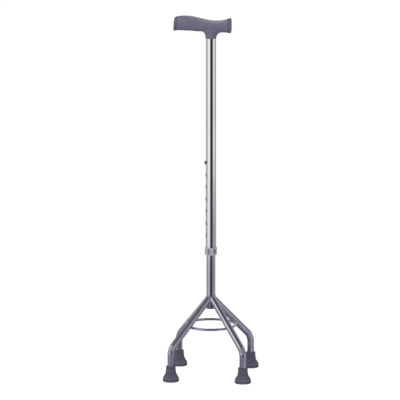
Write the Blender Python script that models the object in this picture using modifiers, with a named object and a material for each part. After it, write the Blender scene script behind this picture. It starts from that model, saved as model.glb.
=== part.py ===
"""Quad cane: a T handle on a shaft that slides to seven heights, over a four-footed base.

The frame is the cane's own, in metres with +Z up. The origin is on the floor under the shaft,
midway between the four feet. +X runs along the handle to its short nose end, and -Y is the front.
The shaft is modelled at its lowest setting, with the button in the top hole.
"""

import math

import bmesh
import bpy
from mathutils import Matrix, Vector

MM = 0.001

# Gaps between pieces
SEAT_GAP = 0.3 * MM          # between pieces that touch on the real cane
SLIDE_GAP = 0.4 * MM         # all round, between the inner and the outer tube

# Shaft tubes
INNER_TUBE_DIAMETER = 19.0 * MM
INNER_TUBE_WALL = 1.2 * MM
OUTER_TUBE_WALL = 1.2 * MM
OUTER_TUBE_LENGTH = 444.6 * MM
INNER_TUBE_ABOVE_BUTTON = 16.0 * MM

# Height holes and the snap button
HOLE_COUNT = 7
HOLE_PITCH = 25.4 * MM
LOWEST_HOLE_ABOVE_TUBE_END = 32.1 * MM
BUTTON_DIAMETER = 7.2 * MM
BUTTON_HOLE_GAP = 0.4 * MM   # all round the button in its holes
BUTTON_STANDOUT = 3.6 * MM
BUTTON_DOME_HEIGHT = 2.6 * MM
BUTTON_FLANGE_RIM = 1.0 * MM
BUTTON_FLANGE_THICKNESS = 1.2 * MM
BUTTON_BEARING = math.radians(210.0)

# Button spring, a folded strip
SPRING_LENGTH = 46.0 * MM
SPRING_STRIP_WIDTH = 6.0 * MM
SPRING_STRIP_THICKNESS = 0.6 * MM

# Guide bush in the top of the inner tube, plug in its bottom
BUSH_PLUG_DEPTH = 8.0 * MM
BUSH_HEAD_THICKNESS = 3.0 * MM
STEM_PLUG_DEPTH = 8.0 * MM
STEM_PLUG_FLANGE = 1.5 * MM

# Lock ring and the split collet inside it
LOCK_RING_BASE_HEIGHT = 252.3 * MM
LOCK_RING_HEIGHT = 15.8 * MM
LOCK_RING_WALL = 1.3 * MM
LOCK_RING_FLOOR = 1.8 * MM
LOCK_RING_OVERLAP = 6.0 * MM
LOCK_RING_CHAMFER = 1.0 * MM
SCALLOP_COUNT = 6
SCALLOP_DEPTH = 0.6 * MM
SCALLOP_FROM_RING_END = 0.9 * MM
FIRST_SCALLOP_BEARING = math.radians(15.0)
COLLET_TAPER = 0.5 * MM
COLLET_SLIT = 1.0 * MM

# Legs and the ring that ties them
FOOT_SPACING = 149.0 * MM
LEG_DIAMETER = 14.0 * MM
LEG_WALL = 1.2 * MM
LEG_JUNCTION_HEIGHT = 165.0 * MM
LEG_CORNER_HEIGHT = 66.5 * MM
LEG_BEND_RADIUS = 26.0 * MM
STEM_TAIL = 5.5 * MM
TIE_RING_HEIGHT = 104.6 * MM
TIE_RING_ROD = 5.0 * MM

# Rubber tips
FOOT_HEIGHT = 32.0 * MM
FOOT_BASE_DIAMETER = 33.4 * MM
FOOT_BASE_THICKNESS = 6.5 * MM
FOOT_FLARE_HEIGHT = 12.5 * MM
FOOT_SLEEVE_WALL = 3.8 * MM
FOOT_SLEEVE_TAPER = 0.8 * MM
FOOT_SOCKET_FLOOR = 8.0 * MM
FOOT_EDGE_ROUNDING = 1.4 * MM
TREAD_GROOVE_RADIUS = 11.5 * MM
TREAD_GROOVE_SIZE = 1.2 * MM
WASHER_THICKNESS = 1.2 * MM
WASHER_HOLE_DIAMETER = 5.0 * MM

# Handle
NECK_DIAMETER = 22.8 * MM
NECK_STRAIGHT = 0.8 * MM
NECK_FLARE_HEIGHT = 13.0 * MM
NECK_FLARE_TO_NOSE = 14.5 * MM
NECK_FLARE_TO_PALM = 9.0 * MM
NECK_FLARE_SIDEWAYS = 2.0 * MM
NECK_IN_GRIP = 9.0 * MM
SPIGOT_LENGTH = 35.0 * MM
GRIP_END_ROUNDING = 2.4 * MM
GRIP_ROUNDNESS = 2.6         # exponent of the grip's section: 2 is an ellipse, more is squarer
# Each station: x and z of the crest, x and z of the underside, half the width.
# x is from the shaft's axis and z from the neck's lower end.
GRIP_STATIONS = [
    (-75.0, 42.0, -76.9, 13.4, 14.3),
    (-70.5, 42.9, -72.5, 14.0, 14.1),
    (-64.0, 44.4, -66.0, 15.0, 13.6),
    (-50.0, 45.1, -52.0, 14.6, 14.2),
    (-38.9, 44.0, -41.0, 14.5, 14.6),
    (-26.0, 41.6, -27.5, 13.5, 14.6),
    (-12.0, 38.5, -13.0, 13.6, 14.3),
    (2.5, 36.3, 2.0, 13.2, 13.9),
    (15.0, 36.3, 14.5, 12.4, 13.4),
    (26.0, 37.6, 25.2, 12.1, 12.9),
    (33.5, 39.9, 32.8, 11.8, 13.2),
    (38.4, 41.6, 38.0, 10.9, 14.0),
    (41.9, 41.8, 41.9, 10.3, 14.2),
]

# Handle screw, from behind, through the outer tube into the spigot
SCREW_BELOW_NECK = 14.0 * MM
SCREW_SHANK_DIAMETER = 3.5 * MM
SCREW_DEPTH_IN_SPIGOT = 7.0 * MM
SCREW_HEAD_DIAMETER = 7.0 * MM
SCREW_HEAD_HEIGHT = 2.2 * MM
SCREW_SLOT_WIDTH = 1.1 * MM
SCREW_SLOT_DEPTH = 1.0 * MM

# Facets
TUBE_SIDES = 40
LEG_SIDES = 20
LEG_BEND_STEPS = 7
SMALL_SIDES = 20
SCALLOP_SIDES = 72
FOOT_SIDES = 28
GRIP_SIDES = 28
GRIP_STEPS = 2

# Sizes that follow
INNER_RADIUS = INNER_TUBE_DIAMETER / 2
INNER_BORE = INNER_RADIUS - INNER_TUBE_WALL
OUTER_BORE = INNER_RADIUS + SLIDE_GAP
OUTER_RADIUS = OUTER_BORE + OUTER_TUBE_WALL
LEG_RADIUS = LEG_DIAMETER / 2

LOCK_RING_TOP = LOCK_RING_BASE_HEIGHT + LOCK_RING_HEIGHT
OUTER_TUBE_BOTTOM = LOCK_RING_TOP - LOCK_RING_OVERLAP
OUTER_TUBE_TOP = OUTER_TUBE_BOTTOM + OUTER_TUBE_LENGTH
NECK_BOTTOM = OUTER_TUBE_TOP + SEAT_GAP
BUTTON_HEIGHT = OUTER_TUBE_BOTTOM + LOWEST_HOLE_ABOVE_TUBE_END + (HOLE_COUNT - 1) * HOLE_PITCH
INNER_TUBE_TOP = BUTTON_HEIGHT + INNER_TUBE_ABOVE_BUTTON

FOOT_REACH = FOOT_SPACING / math.sqrt(2)
LEG_TILT = math.atan2(FOOT_REACH, LEG_JUNCTION_HEIGHT - LEG_CORNER_HEIGHT)
LEG_END_HEIGHT = FOOT_SOCKET_FLOOR + SEAT_GAP + WASHER_THICKNESS + SEAT_GAP
LEG_LOWEST_ON_STEM = (
    LEG_JUNCTION_HEIGHT - INNER_RADIUS / math.tan(LEG_TILT) - LEG_RADIUS / math.sin(LEG_TILT)
)
INNER_TUBE_BOTTOM = LEG_LOWEST_ON_STEM - STEM_TAIL
TIE_RING_RADIUS = (
    (LEG_JUNCTION_HEIGHT - TIE_RING_HEIGHT) * math.sin(LEG_TILT)
    - (LEG_RADIUS + TIE_RING_ROD / 2 + SEAT_GAP)
) / math.cos(LEG_TILT)

BUTTON_RADIUS = BUTTON_DIAMETER / 2
BUTTON_FLANGE_RADIUS = BUTTON_RADIUS + BUTTON_FLANGE_RIM
BUTTON_TIP = OUTER_RADIUS + BUTTON_STANDOUT
BUTTON_FLANGE_FRONT = math.sqrt(INNER_BORE**2 - BUTTON_FLANGE_RADIUS**2) - SEAT_GAP
BUTTON_BACK = BUTTON_FLANGE_FRONT - BUTTON_FLANGE_THICKNESS

SCREW_HEIGHT = NECK_BOTTOM - SCREW_BELOW_NECK

# Colours, roughness and metallic value of each material
FINISHES = {
    "plated_steel": ((0.78, 0.78, 0.80), 0.12, 1.0),
    "leg_steel": ((0.62, 0.62, 0.65), 0.18, 1.0),
    "grip_plastic": ((0.15, 0.145, 0.19), 0.45, 0.0),
    "collar_plastic": ((0.38, 0.37, 0.42), 0.35, 0.0),
    "button_steel": ((0.22, 0.22, 0.24), 0.35, 1.0),
    "spring_steel": ((0.40, 0.41, 0.43), 0.30, 1.0),
    "white_nylon": ((0.75, 0.75, 0.72), 0.50, 0.0),
    "black_plug": ((0.05, 0.05, 0.055), 0.50, 0.0),
    "tip_rubber": ((0.09, 0.088, 0.11), 0.75, 0.0),
    "zinc_washer": ((0.60, 0.61, 0.63), 0.35, 1.0),
}


def clear_scene():
    """Remove the objects that a new Blender file starts with."""
    for obj in list(bpy.data.objects):
        bpy.data.objects.remove(obj, do_unlink=True)


def make_collection(name):
    """A collection of this name, linked to the scene."""
    collection = bpy.data.collections.new(name)
    bpy.context.scene.collection.children.link(collection)
    return collection


def make_material(name):
    """A Principled BSDF with the colour, roughness and metallic value listed for this finish."""
    colour, roughness, metallic = FINISHES[name]
    material = bpy.data.materials.new(name)
    material.use_nodes = True
    shader = material.node_tree.nodes["Principled BSDF"]
    shader.inputs["Base Color"].default_value = (*colour, 1.0)
    shader.inputs["Roughness"].default_value = roughness
    shader.inputs["Metallic"].default_value = metallic
    material.diffuse_color = (*colour, 1.0)
    return material


clear_scene()
CANE = make_collection("QuadCane")
CUTTERS = make_collection("Cutters")
MATERIALS = {name: make_material(name) for name in FINISHES}


def add_object(name, mesh, finish=None, location=(0, 0, 0), rotation=(0, 0, 0)):
    """Place a mesh in the cane's collection, or among the cutters if it has no finish."""
    obj = bpy.data.objects.new(name, mesh)
    obj.location = location
    obj.rotation_euler = rotation
    if finish:
        CANE.objects.link(obj)
        if not mesh.materials:
            mesh.materials.append(MATERIALS[finish])
    else:
        CUTTERS.objects.link(obj)
        obj.hide_render = True
        obj.display_type = "WIRE"
    return obj


def add_empty(name, location, rotation=(0, 0, 0)):
    """An empty on a joint's axis, for a moving body's pieces to hang from."""
    empty = bpy.data.objects.new(name, None)
    empty.empty_display_size = 20 * MM
    empty.location = location
    empty.rotation_euler = rotation
    CANE.objects.link(empty)
    return empty


def hang_on(empty, *pieces):
    """Parent pieces to an unturned empty without moving them."""
    for piece in pieces:
        piece.parent = empty
        piece.location = Vector(piece.location) - Vector(empty.location)


def mesh_from(bm, name):
    """Finish a bmesh: faces turned outwards, smooth where they meet at under 35 degrees."""
    bmesh.ops.recalc_face_normals(bm, faces=bm.faces)
    mesh = bpy.data.meshes.new(name)
    bm.to_mesh(mesh)
    bm.free()
    mesh.shade_smooth()
    mesh.set_sharp_from_angle(angle=math.radians(35))
    return mesh


def profile_mesh(name, profile, closed):
    """Edges through (radius, height) points, for a Screw modifier to turn."""
    count = len(profile)
    edges = [(i, i + 1) for i in range(count - 1)]
    if closed:
        edges.append((count - 1, 0))
    mesh = bpy.data.meshes.new(name)
    mesh.from_pydata([(radius, 0, height) for radius, height in profile], edges, [])
    return mesh


def turned(name, profile, finish=None, sides=TUBE_SIDES, **place):
    """A turned piece. Its profile runs down the outer side; a ring's profile is a closed loop."""
    on_axis = profile[0][0] == 0 and profile[-1][0] == 0
    obj = add_object(name, profile_mesh(name, profile, closed=not on_axis), finish, **place)
    screw = obj.modifiers.new("Turn", "SCREW")
    screw.axis = "Z"
    screw.angle = math.tau
    screw.steps = sides
    screw.render_steps = sides
    screw.use_merge_vertices = True
    screw.merge_threshold = 0.00001
    screw.use_smooth_shade = False
    return obj


def cylinder(name, radius, bottom, top, finish=None, sides=TUBE_SIDES, **place):
    """A closed cylinder along its own Z axis."""
    bm = bmesh.new()
    bmesh.ops.create_cone(
        bm,
        cap_ends=True,
        segments=sides,
        radius1=radius,
        radius2=radius,
        depth=top - bottom,
        matrix=Matrix.Translation((0, 0, (bottom + top) / 2)),
    )
    return add_object(name, mesh_from(bm, name), finish, **place)


def box(name, low, high, finish=None, **place):
    """A box between two opposite corners."""
    size = Vector(high) - Vector(low)
    middle = (Vector(high) + Vector(low)) / 2
    bm = bmesh.new()
    bmesh.ops.create_cube(bm, size=1, matrix=Matrix.Translation(middle) @ Matrix.Diagonal((*size, 1)))
    return add_object(name, mesh_from(bm, name), finish, **place)


def loft(name, sections, finish=None):
    """A closed skin through sections that all have the same number of points."""
    bm = bmesh.new()
    rings = [[bm.verts.new(point) for point in section] for section in sections]
    count = len(rings[0])
    for ring, following in zip(rings, rings[1:]):
        for i in range(count):
            j = (i + 1) % count
            bm.faces.new((ring[i], ring[j], following[j], following[i]))
    bm.faces.new(rings[0][::-1])
    bm.faces.new(rings[-1])
    return add_object(name, mesh_from(bm, name), finish)


def combine(obj, other, operation):
    """Cut a piece with another object, or join the other object to it."""
    boolean = obj.modifiers.new(f"{operation.title()} {other.name}", "BOOLEAN")
    boolean.operation = operation
    boolean.solver = "EXACT"
    boolean.object = other


def cut(obj, *cutters):
    """Take one or more cutters out of a piece."""
    for cutter in cutters:
        combine(obj, cutter, "DIFFERENCE")


def join(obj, *others):
    """Make one body of a piece and the shapes that belong to it."""
    for other in others:
        combine(obj, other, "UNION")


def frozen_mesh(obj, name):
    """The mesh of an object with its modifiers worked in. The object itself is removed."""
    bpy.context.view_layer.update()
    graph = bpy.context.evaluated_depsgraph_get()
    mesh = bpy.data.meshes.new_from_object(obj.evaluated_get(graph))
    mesh.name = name
    bpy.data.objects.remove(obj, do_unlink=True)
    return mesh


def outward(bearing):
    """Rotation that lays a piece's own Z axis level, pointing out from the shaft at a bearing."""
    return (0, math.pi / 2, bearing)


def smooth_step(t):
    """0 up to t = 0, 1 from t = 1, with level ends."""
    t = min(max(t, 0.0), 1.0)
    return t * t * (3 - 2 * t)


def curve_through(points, steps):
    """A smooth line through points of any dimension, with this many steps between neighbours."""
    line = []
    last = len(points) - 1
    for i in range(last):
        before, start, end, after = (points[min(max(i + k, 0), last)] for k in (-1, 0, 1, 2))
        for step in range(steps):
            t = step / steps
            line.append([
                b + 0.5 * t * (c - a + t * (2 * a - 5 * b + 4 * c - d + t * (3 * (b - c) + d - a)))
                for a, b, c, d in zip(before, start, end, after)
            ])
    line.append(list(points[last]))
    return line


def hole_cutter(name, height):
    """A cutter for a button hole, from the shaft's axis out along the button's bearing."""
    return cylinder(
        name,
        BUTTON_RADIUS + BUTTON_HOLE_GAP,
        0,
        2 * OUTER_RADIUS,
        sides=SMALL_SIDES,
        location=(0, 0, height),
        rotation=outward(BUTTON_BEARING),
    )


def make_inner_tube():
    """The lower shaft tube, with the button's hole near its top."""
    tube = turned("lower_tube", [
        (INNER_RADIUS, INNER_TUBE_TOP),
        (INNER_RADIUS, INNER_TUBE_BOTTOM),
        (INNER_BORE, INNER_TUBE_BOTTOM),
        (INNER_BORE, INNER_TUBE_TOP),
    ], "leg_steel")
    cut(tube, hole_cutter("lower_tube_hole", BUTTON_HEIGHT))
    return tube


def make_guide_bush():
    """The nylon plug in the inner tube's top, whose head runs in the outer tube's bore."""
    head = OUTER_BORE - SEAT_GAP
    plug = INNER_BORE - SEAT_GAP
    bottom = INNER_TUBE_TOP + SEAT_GAP
    top = bottom + BUSH_HEAD_THICKNESS
    chamfer = BUSH_HEAD_THICKNESS / 3
    return turned("guide_bush", [
        (0, top),
        (head - chamfer, top),
        (head, top - chamfer),
        (head, bottom),
        (plug, bottom),
        (plug, bottom - BUSH_PLUG_DEPTH),
        (0, bottom - BUSH_PLUG_DEPTH),
    ], "white_nylon")


def make_stem_plug():
    """The plug that closes the inner tube's lower end, between the legs."""
    plug = INNER_BORE - SEAT_GAP
    top = INNER_TUBE_BOTTOM - SEAT_GAP
    bottom = top - STEM_PLUG_FLANGE
    chamfer = STEM_PLUG_FLANGE / 3
    return turned("stem_plug", [
        (0, top + STEM_PLUG_DEPTH),
        (plug, top + STEM_PLUG_DEPTH),
        (plug, top),
        (INNER_RADIUS, top),
        (INNER_RADIUS, bottom + chamfer),
        (INNER_RADIUS - chamfer, bottom),
        (0, bottom),
    ], "black_plug")


def make_snap_button(axis):
    """The domed button, turned about its own axis, with a flange that stops it inside the tube."""
    dome_start = BUTTON_TIP - BUTTON_DOME_HEIGHT
    dome = [
        (BUTTON_RADIUS * math.cos(angle), dome_start + BUTTON_DOME_HEIGHT * math.sin(angle))
        for angle in (math.pi / 2 * step / 6 for step in range(6))
    ]
    profile = [(0, BUTTON_TIP), *reversed(dome)]
    profile += [
        (BUTTON_RADIUS, BUTTON_FLANGE_FRONT),
        (BUTTON_FLANGE_RADIUS, BUTTON_FLANGE_FRONT),
        (BUTTON_FLANGE_RADIUS, BUTTON_BACK),
        (0, BUTTON_BACK),
    ]
    button = turned("snap_button", profile, "button_steel", sides=SMALL_SIDES)
    button.parent = axis
    return button


def make_button_spring():
    """The folded strip behind the button: one leaf on the button, the other on the far wall."""
    half_thickness = SPRING_STRIP_THICKNESS / 2
    near = BUTTON_BACK - SEAT_GAP - half_thickness
    wall = math.sqrt(INNER_BORE**2 - (SPRING_STRIP_WIDTH / 2) ** 2)
    far = -(wall - SEAT_GAP - half_thickness)
    top = BUTTON_RADIUS
    fold_radius = (near - far) / 4
    fold = top - SPRING_LENGTH + fold_radius
    path = [(near, top), (near, -top)]
    for step in range(7):
        angle = -math.pi * step / 6
        path.append((far + fold_radius * (1 + math.cos(angle)), fold + fold_radius * math.sin(angle)))
    path.append((far, top))

    bm = bmesh.new()
    corners = [bm.verts.new((x, -SPRING_STRIP_WIDTH / 2, z)) for x, z in path]
    edges = [bm.edges.new(pair) for pair in zip(corners, corners[1:])]
    swept = bmesh.ops.extrude_edge_only(bm, edges=edges)["geom"]
    far_edge = [item for item in swept if isinstance(item, bmesh.types.BMVert)]
    bmesh.ops.translate(bm, verts=far_edge, vec=(0, SPRING_STRIP_WIDTH, 0))
    spring = add_object(
        "button_spring",
        mesh_from(bm, "button_spring"),
        "spring_steel",
        location=(0, 0, BUTTON_HEIGHT),
        rotation=(0, 0, BUTTON_BEARING),
    )
    strip = spring.modifiers.new("Strip", "SOLIDIFY")
    strip.thickness = SPRING_STRIP_THICKNESS
    strip.offset = 0
    strip.use_even_offset = True
    return spring


def make_outer_tube():
    """The upper shaft tube, with its row of height holes and the screw's hole behind."""
    tube = turned("upper_tube", [
        (OUTER_RADIUS, OUTER_TUBE_TOP),
        (OUTER_RADIUS, OUTER_TUBE_BOTTOM),
        (OUTER_BORE, OUTER_TUBE_BOTTOM),
        (OUTER_BORE, OUTER_TUBE_TOP),
    ], "plated_steel")
    for i in range(HOLE_COUNT):
        cut(tube, hole_cutter(f"height_hole_{i + 1}", BUTTON_HEIGHT - i * HOLE_PITCH))
    cut(tube, screw_clearance("tube_screw_hole", 2 * OUTER_RADIUS))
    return tube


def make_collet():
    """The split, tapered ring between the outer tube's end and the lock ring's floor."""
    bore = INNER_RADIUS + SEAT_GAP
    top = OUTER_TUBE_BOTTOM - SEAT_GAP
    bottom = LOCK_RING_BASE_HEIGHT + LOCK_RING_FLOOR + SEAT_GAP
    collet = turned("tube_collet", [
        (OUTER_RADIUS, top),
        (OUTER_RADIUS - COLLET_TAPER, bottom),
        (bore, bottom),
        (bore, top),
    ], "white_nylon")
    reach = 2 * OUTER_RADIUS
    cut(collet, box(
        "collet_slit",
        (0, -COLLET_SLIT / 2, bottom - reach),
        (reach, COLLET_SLIT / 2, top + reach),
    ))
    return collet


def scallop_cutter(name, outside, bearing):
    """A cutter for a finger scallop: a large level roller that just dips into the ring's side."""
    half_height = LOCK_RING_HEIGHT / 2 - SCALLOP_FROM_RING_END
    radius = (half_height**2 + SCALLOP_DEPTH**2) / (2 * SCALLOP_DEPTH)
    distance = outside + radius - SCALLOP_DEPTH
    return cylinder(
        name,
        radius,
        -outside,
        outside,
        sides=SCALLOP_SIDES,
        location=(
            distance * math.cos(bearing),
            distance * math.sin(bearing),
            LOCK_RING_BASE_HEIGHT + LOCK_RING_HEIGHT / 2,
        ),
        rotation=(math.pi / 2, 0, bearing),
    )


def make_lock_ring():
    """The scalloped ring screwed over the tube's end, whose cone squeezes the collet."""
    bore = OUTER_RADIUS + SEAT_GAP
    outside = bore + LOCK_RING_WALL
    base = LOCK_RING_BASE_HEIGHT
    floor = base + LOCK_RING_FLOOR
    ring = turned("lock_ring", [
        (outside - LOCK_RING_CHAMFER / 2, LOCK_RING_TOP),
        (outside, LOCK_RING_TOP - LOCK_RING_CHAMFER),
        (outside, base + 2 * LOCK_RING_CHAMFER),
        (outside - LOCK_RING_CHAMFER, base),
        (INNER_RADIUS + SEAT_GAP + SLIDE_GAP, base),
        (INNER_RADIUS + SEAT_GAP + SLIDE_GAP, floor),
        (bore - COLLET_TAPER, floor),
        (bore, OUTER_TUBE_BOTTOM - SEAT_GAP),
        (bore, LOCK_RING_TOP),
    ], "collar_plastic", sides=8 * SCALLOP_COUNT)
    for i in range(SCALLOP_COUNT):
        bearing = FIRST_SCALLOP_BEARING + math.tau * i / SCALLOP_COUNT
        cut(ring, scallop_cutter(f"scallop_{i + 1}", outside, bearing))
    return ring


def leg_path():
    """Centre line of a leg as (reach from the axis, height): straight, bent, then upright."""
    tangent = LEG_BEND_RADIUS * math.tan(LEG_TILT / 2)
    bend_end = LEG_CORNER_HEIGHT - tangent
    path = [(0.0, LEG_JUNCTION_HEIGHT)]
    for step in range(LEG_BEND_STEPS + 1):
        angle = LEG_TILT * (1 - step / LEG_BEND_STEPS)
        path.append((
            FOOT_REACH - LEG_BEND_RADIUS * (1 - math.cos(angle)),
            bend_end + LEG_BEND_RADIUS * math.sin(angle),
        ))
    path.append((FOOT_REACH, LEG_END_HEIGHT))
    return path


def leg_mesh():
    """A leg along +X: a tube swept down the path, coped on the shaft and kept in its quarter."""
    curve = bpy.data.curves.new("leg_path", "CURVE")
    curve.dimensions = "3D"
    curve.bevel_depth = LEG_RADIUS
    curve.bevel_resolution = (LEG_SIDES - 4) // 2
    curve.use_fill_caps = False
    spline = curve.splines.new("POLY")
    path = leg_path()
    spline.points.add(len(path) - 1)
    for point, (reach, height) in zip(spline.points, path):
        point.co = (reach, 0, height, 1)
    swept = bpy.data.objects.new("leg_sweep", curve)
    CANE.objects.link(swept)
    skin = frozen_mesh(swept, "leg_skin")
    bpy.data.curves.remove(curve)

    bm = bmesh.new()
    bm.from_mesh(skin)
    bmesh.ops.remove_doubles(bm, verts=bm.verts, dist=0.00001)
    bmesh.ops.recalc_face_normals(bm, faces=bm.faces)
    bm.to_mesh(skin)
    bm.free()
    leg = add_object("leg", skin, "leg_steel")
    wall = leg.modifiers.new("Wall", "SOLIDIFY")
    wall.thickness = LEG_WALL
    wall.offset = -1
    wall.use_even_offset = True

    reach = 2 * LEG_DIAMETER
    stem = cylinder(
        "leg_cope", INNER_RADIUS + SEAT_GAP, INNER_TUBE_BOTTOM - reach, LEG_JUNCTION_HEIGHT + reach
    )
    sides = []
    for side in (1, -1):
        quarter = box(f"leg_quarter_{'left' if side > 0 else 'right'}",
                      (-reach, SEAT_GAP / 2, INNER_TUBE_BOTTOM - reach),
                      (reach, reach, LEG_JUNCTION_HEIGHT + reach))
        quarter.rotation_euler = (0 if side > 0 else math.pi, 0, side * math.pi / 4)
        quarter.location = (0, 0, 0 if side > 0 else INNER_TUBE_BOTTOM + LEG_JUNCTION_HEIGHT)
        sides.append(quarter)
    cut(leg, stem, *sides)
    return frozen_mesh(leg, "leg")


def make_legs():
    """Four legs that share a mesh, one over each foot."""
    mesh = leg_mesh()
    return [
        add_object(f"{corner}_leg", mesh, "leg_steel", rotation=(0, 0, bearing))
        for corner, bearing in corner_bearings()
    ]


def corner_bearings():
    """Name and bearing of each corner of the base. Front is -Y and right is +X."""
    return [
        ("front_left", math.radians(225)),
        ("front_right", math.radians(315)),
        ("rear_right", math.radians(45)),
        ("rear_left", math.radians(135)),
    ]


def make_tie_ring():
    """The rod ring that touches the four legs on their inner, lower sides."""
    bpy.ops.mesh.primitive_torus_add(
        major_segments=TUBE_SIDES,
        minor_segments=12,
        major_radius=TIE_RING_RADIUS,
        minor_radius=TIE_RING_ROD / 2,
        location=(0, 0, TIE_RING_HEIGHT),
    )
    ring = bpy.context.object
    ring.name = "leg_tie_ring"
    ring.data.name = "leg_tie_ring"
    ring.data.shade_smooth()
    ring.data.materials.append(MATERIALS["leg_steel"])
    for collection in list(ring.users_collection):
        collection.objects.unlink(ring)
    CANE.objects.link(ring)
    return ring


def foot_profile():
    """The rubber tip's section: sleeve, bell-shaped flare, base, tread groove and socket."""
    base = FOOT_BASE_DIAMETER / 2
    socket = LEG_RADIUS + SEAT_GAP
    sleeve = LEG_RADIUS + FOOT_SLEEVE_WALL
    mouth = sleeve - FOOT_SLEEVE_TAPER
    flare_top = FOOT_BASE_THICKNESS + FOOT_FLARE_HEIGHT
    edge = FOOT_EDGE_ROUNDING
    groove = TREAD_GROOVE_SIZE / 2
    profile = [(socket + edge / 2, FOOT_HEIGHT)]
    for step in range(3):
        angle = math.pi / 2 * (1 - step / 2)
        profile.append((
            mouth - edge * (1 - math.cos(angle)), FOOT_HEIGHT - edge * (1 - math.sin(angle))
        ))
    steps = 6
    for step in range(steps + 1):
        drop = step / steps
        profile.append((
            sleeve + (base - sleeve) * smooth_step(drop), flare_top - FOOT_FLARE_HEIGHT * drop
        ))
    for step in range(3):
        angle = math.pi / 2 * step / 2
        profile.append((
            base - edge * (1 - math.cos(angle)), edge * (1 - math.sin(angle))
        ))
    profile += [
        (TREAD_GROOVE_RADIUS + groove, 0),
        (TREAD_GROOVE_RADIUS, TREAD_GROOVE_SIZE),
        (TREAD_GROOVE_RADIUS - groove, 0),
        (0, 0),
    ]
    return profile, socket


def foot_mesh():
    """The rubber tip, turned about its own axis, with a socket for the leg's end."""
    profile, socket = foot_profile()
    foot = turned("tip", [(0, FOOT_HEIGHT), *profile], "tip_rubber", sides=FOOT_SIDES)
    cut(foot, cylinder("tip_socket", socket, FOOT_SOCKET_FLOOR, FOOT_HEIGHT + FOOT_SOCKET_FLOOR,
                       sides=FOOT_SIDES))
    return frozen_mesh(foot, "tip")


def make_feet():
    """Four rubber tips and the four washers under the leg ends, each set sharing a mesh."""
    tip = foot_mesh()
    bottom = FOOT_SOCKET_FLOOR + SEAT_GAP
    washer = frozen_mesh(turned("washer", [
        (LEG_RADIUS, bottom + WASHER_THICKNESS),
        (LEG_RADIUS, bottom),
        (WASHER_HOLE_DIAMETER / 2, bottom),
        (WASHER_HOLE_DIAMETER / 2, bottom + WASHER_THICKNESS),
    ], "zinc_washer", sides=SMALL_SIDES), "washer")
    pieces = []
    for corner, bearing in corner_bearings():
        place = (FOOT_REACH * math.cos(bearing), FOOT_REACH * math.sin(bearing), 0)
        pieces.append(add_object(f"{corner}_tip", tip, "tip_rubber", location=place))
        pieces.append(add_object(f"{corner}_washer", washer, "zinc_washer", location=place))
    return pieces


def grip_section(crest_x, crest_z, under_x, under_z, half_width, inset=0.0, shift=0.0):
    """One section of the grip in millimetres from the neck's end, as points in metres.

    The section is a squared ellipse in the leaning plane through its crest and underside.
    inset draws it in all round, and shift moves it along the grip.
    """
    centre = Vector(((crest_x + under_x) / 2, 0, (crest_z + under_z) / 2))
    up = Vector(((crest_x - under_x) / 2, 0, (crest_z - under_z) / 2))
    up *= 1 - inset / up.length
    across = half_width - inset
    section = []
    for i in range(GRIP_SIDES):
        angle = math.tau * i / GRIP_SIDES
        sine, cosine = math.sin(angle), math.cos(angle)
        high = math.copysign(abs(sine) ** (2 / GRIP_ROUNDNESS), sine)
        wide = math.copysign(abs(cosine) ** (2 / GRIP_ROUNDNESS), cosine)
        point = centre + up * high + Vector((shift, across * wide, 0))
        section.append(point * MM + Vector((0, 0, NECK_BOTTOM)))
    return section


def make_grip():
    """The grip's main body, with rounded ends."""
    stations = curve_through(GRIP_STATIONS, GRIP_STEPS)
    rounding = GRIP_END_ROUNDING / MM
    sections = []
    for step in range(4):
        angle = math.pi / 2 * step / 4
        sections.append(grip_section(
            *stations[0], inset=rounding * (1 - math.sin(angle)), shift=rounding * (1 - math.cos(angle))
        ))
    for station in stations[1:-1]:
        sections.append(grip_section(*station))
    for step in range(4):
        angle = math.pi / 2 * (3 - step) / 4
        sections.append(grip_section(
            *stations[-1], inset=rounding * (1 - math.sin(angle)), shift=-rounding * (1 - math.cos(angle))
        ))
    return loft("handle", sections, "grip_plastic")


def make_neck():
    """The neck below the grip, which flares along the grip and runs up into it."""
    radius = NECK_DIAMETER / 2
    levels = [(0.0, 0.0), (NECK_STRAIGHT, 0.0)]
    steps = 7
    for step in range(1, steps + 1):
        angle = math.radians(80) * step / steps
        levels.append((NECK_STRAIGHT + NECK_FLARE_HEIGHT * math.sin(angle), 1 - math.cos(angle)))
    levels.append((levels[-1][0] + NECK_IN_GRIP, levels[-1][1]))
    sides = 36
    sections = []
    for height, flare in levels:
        section = []
        for i in range(sides):
            sine, cosine = math.sin(math.tau * i / sides), math.cos(math.tau * i / sides)
            reach = NECK_FLARE_TO_NOSE if cosine > 0 else NECK_FLARE_TO_PALM
            section.append((
                (radius + reach * flare) * cosine,
                (radius + NECK_FLARE_SIDEWAYS * flare) * sine,
                NECK_BOTTOM + height,
            ))
        sections.append(section)
    return loft("handle_neck", sections)


def screw_clearance(name, length):
    """A cutter for the handle screw's hole, from the shaft's axis out to the rear."""
    return cylinder(
        name,
        SCREW_SHANK_DIAMETER / 2 + SEAT_GAP,
        OUTER_BORE - SEAT_GAP - SCREW_DEPTH_IN_SPIGOT - SEAT_GAP,
        length,
        sides=SMALL_SIDES,
        location=(0, 0, SCREW_HEIGHT),
        rotation=(-math.pi / 2, 0, 0),
    )


def make_handle():
    """Grip, neck and spigot in one moulding, with the screw's pilot hole."""
    handle = make_grip()
    spigot = cylinder(
        "handle_spigot", OUTER_BORE - SEAT_GAP, NECK_BOTTOM - SPIGOT_LENGTH, NECK_BOTTOM + NECK_STRAIGHT
    )
    join(handle, make_neck(), spigot)
    cut(handle, screw_clearance("spigot_screw_hole", 2 * OUTER_RADIUS))
    return handle


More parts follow.
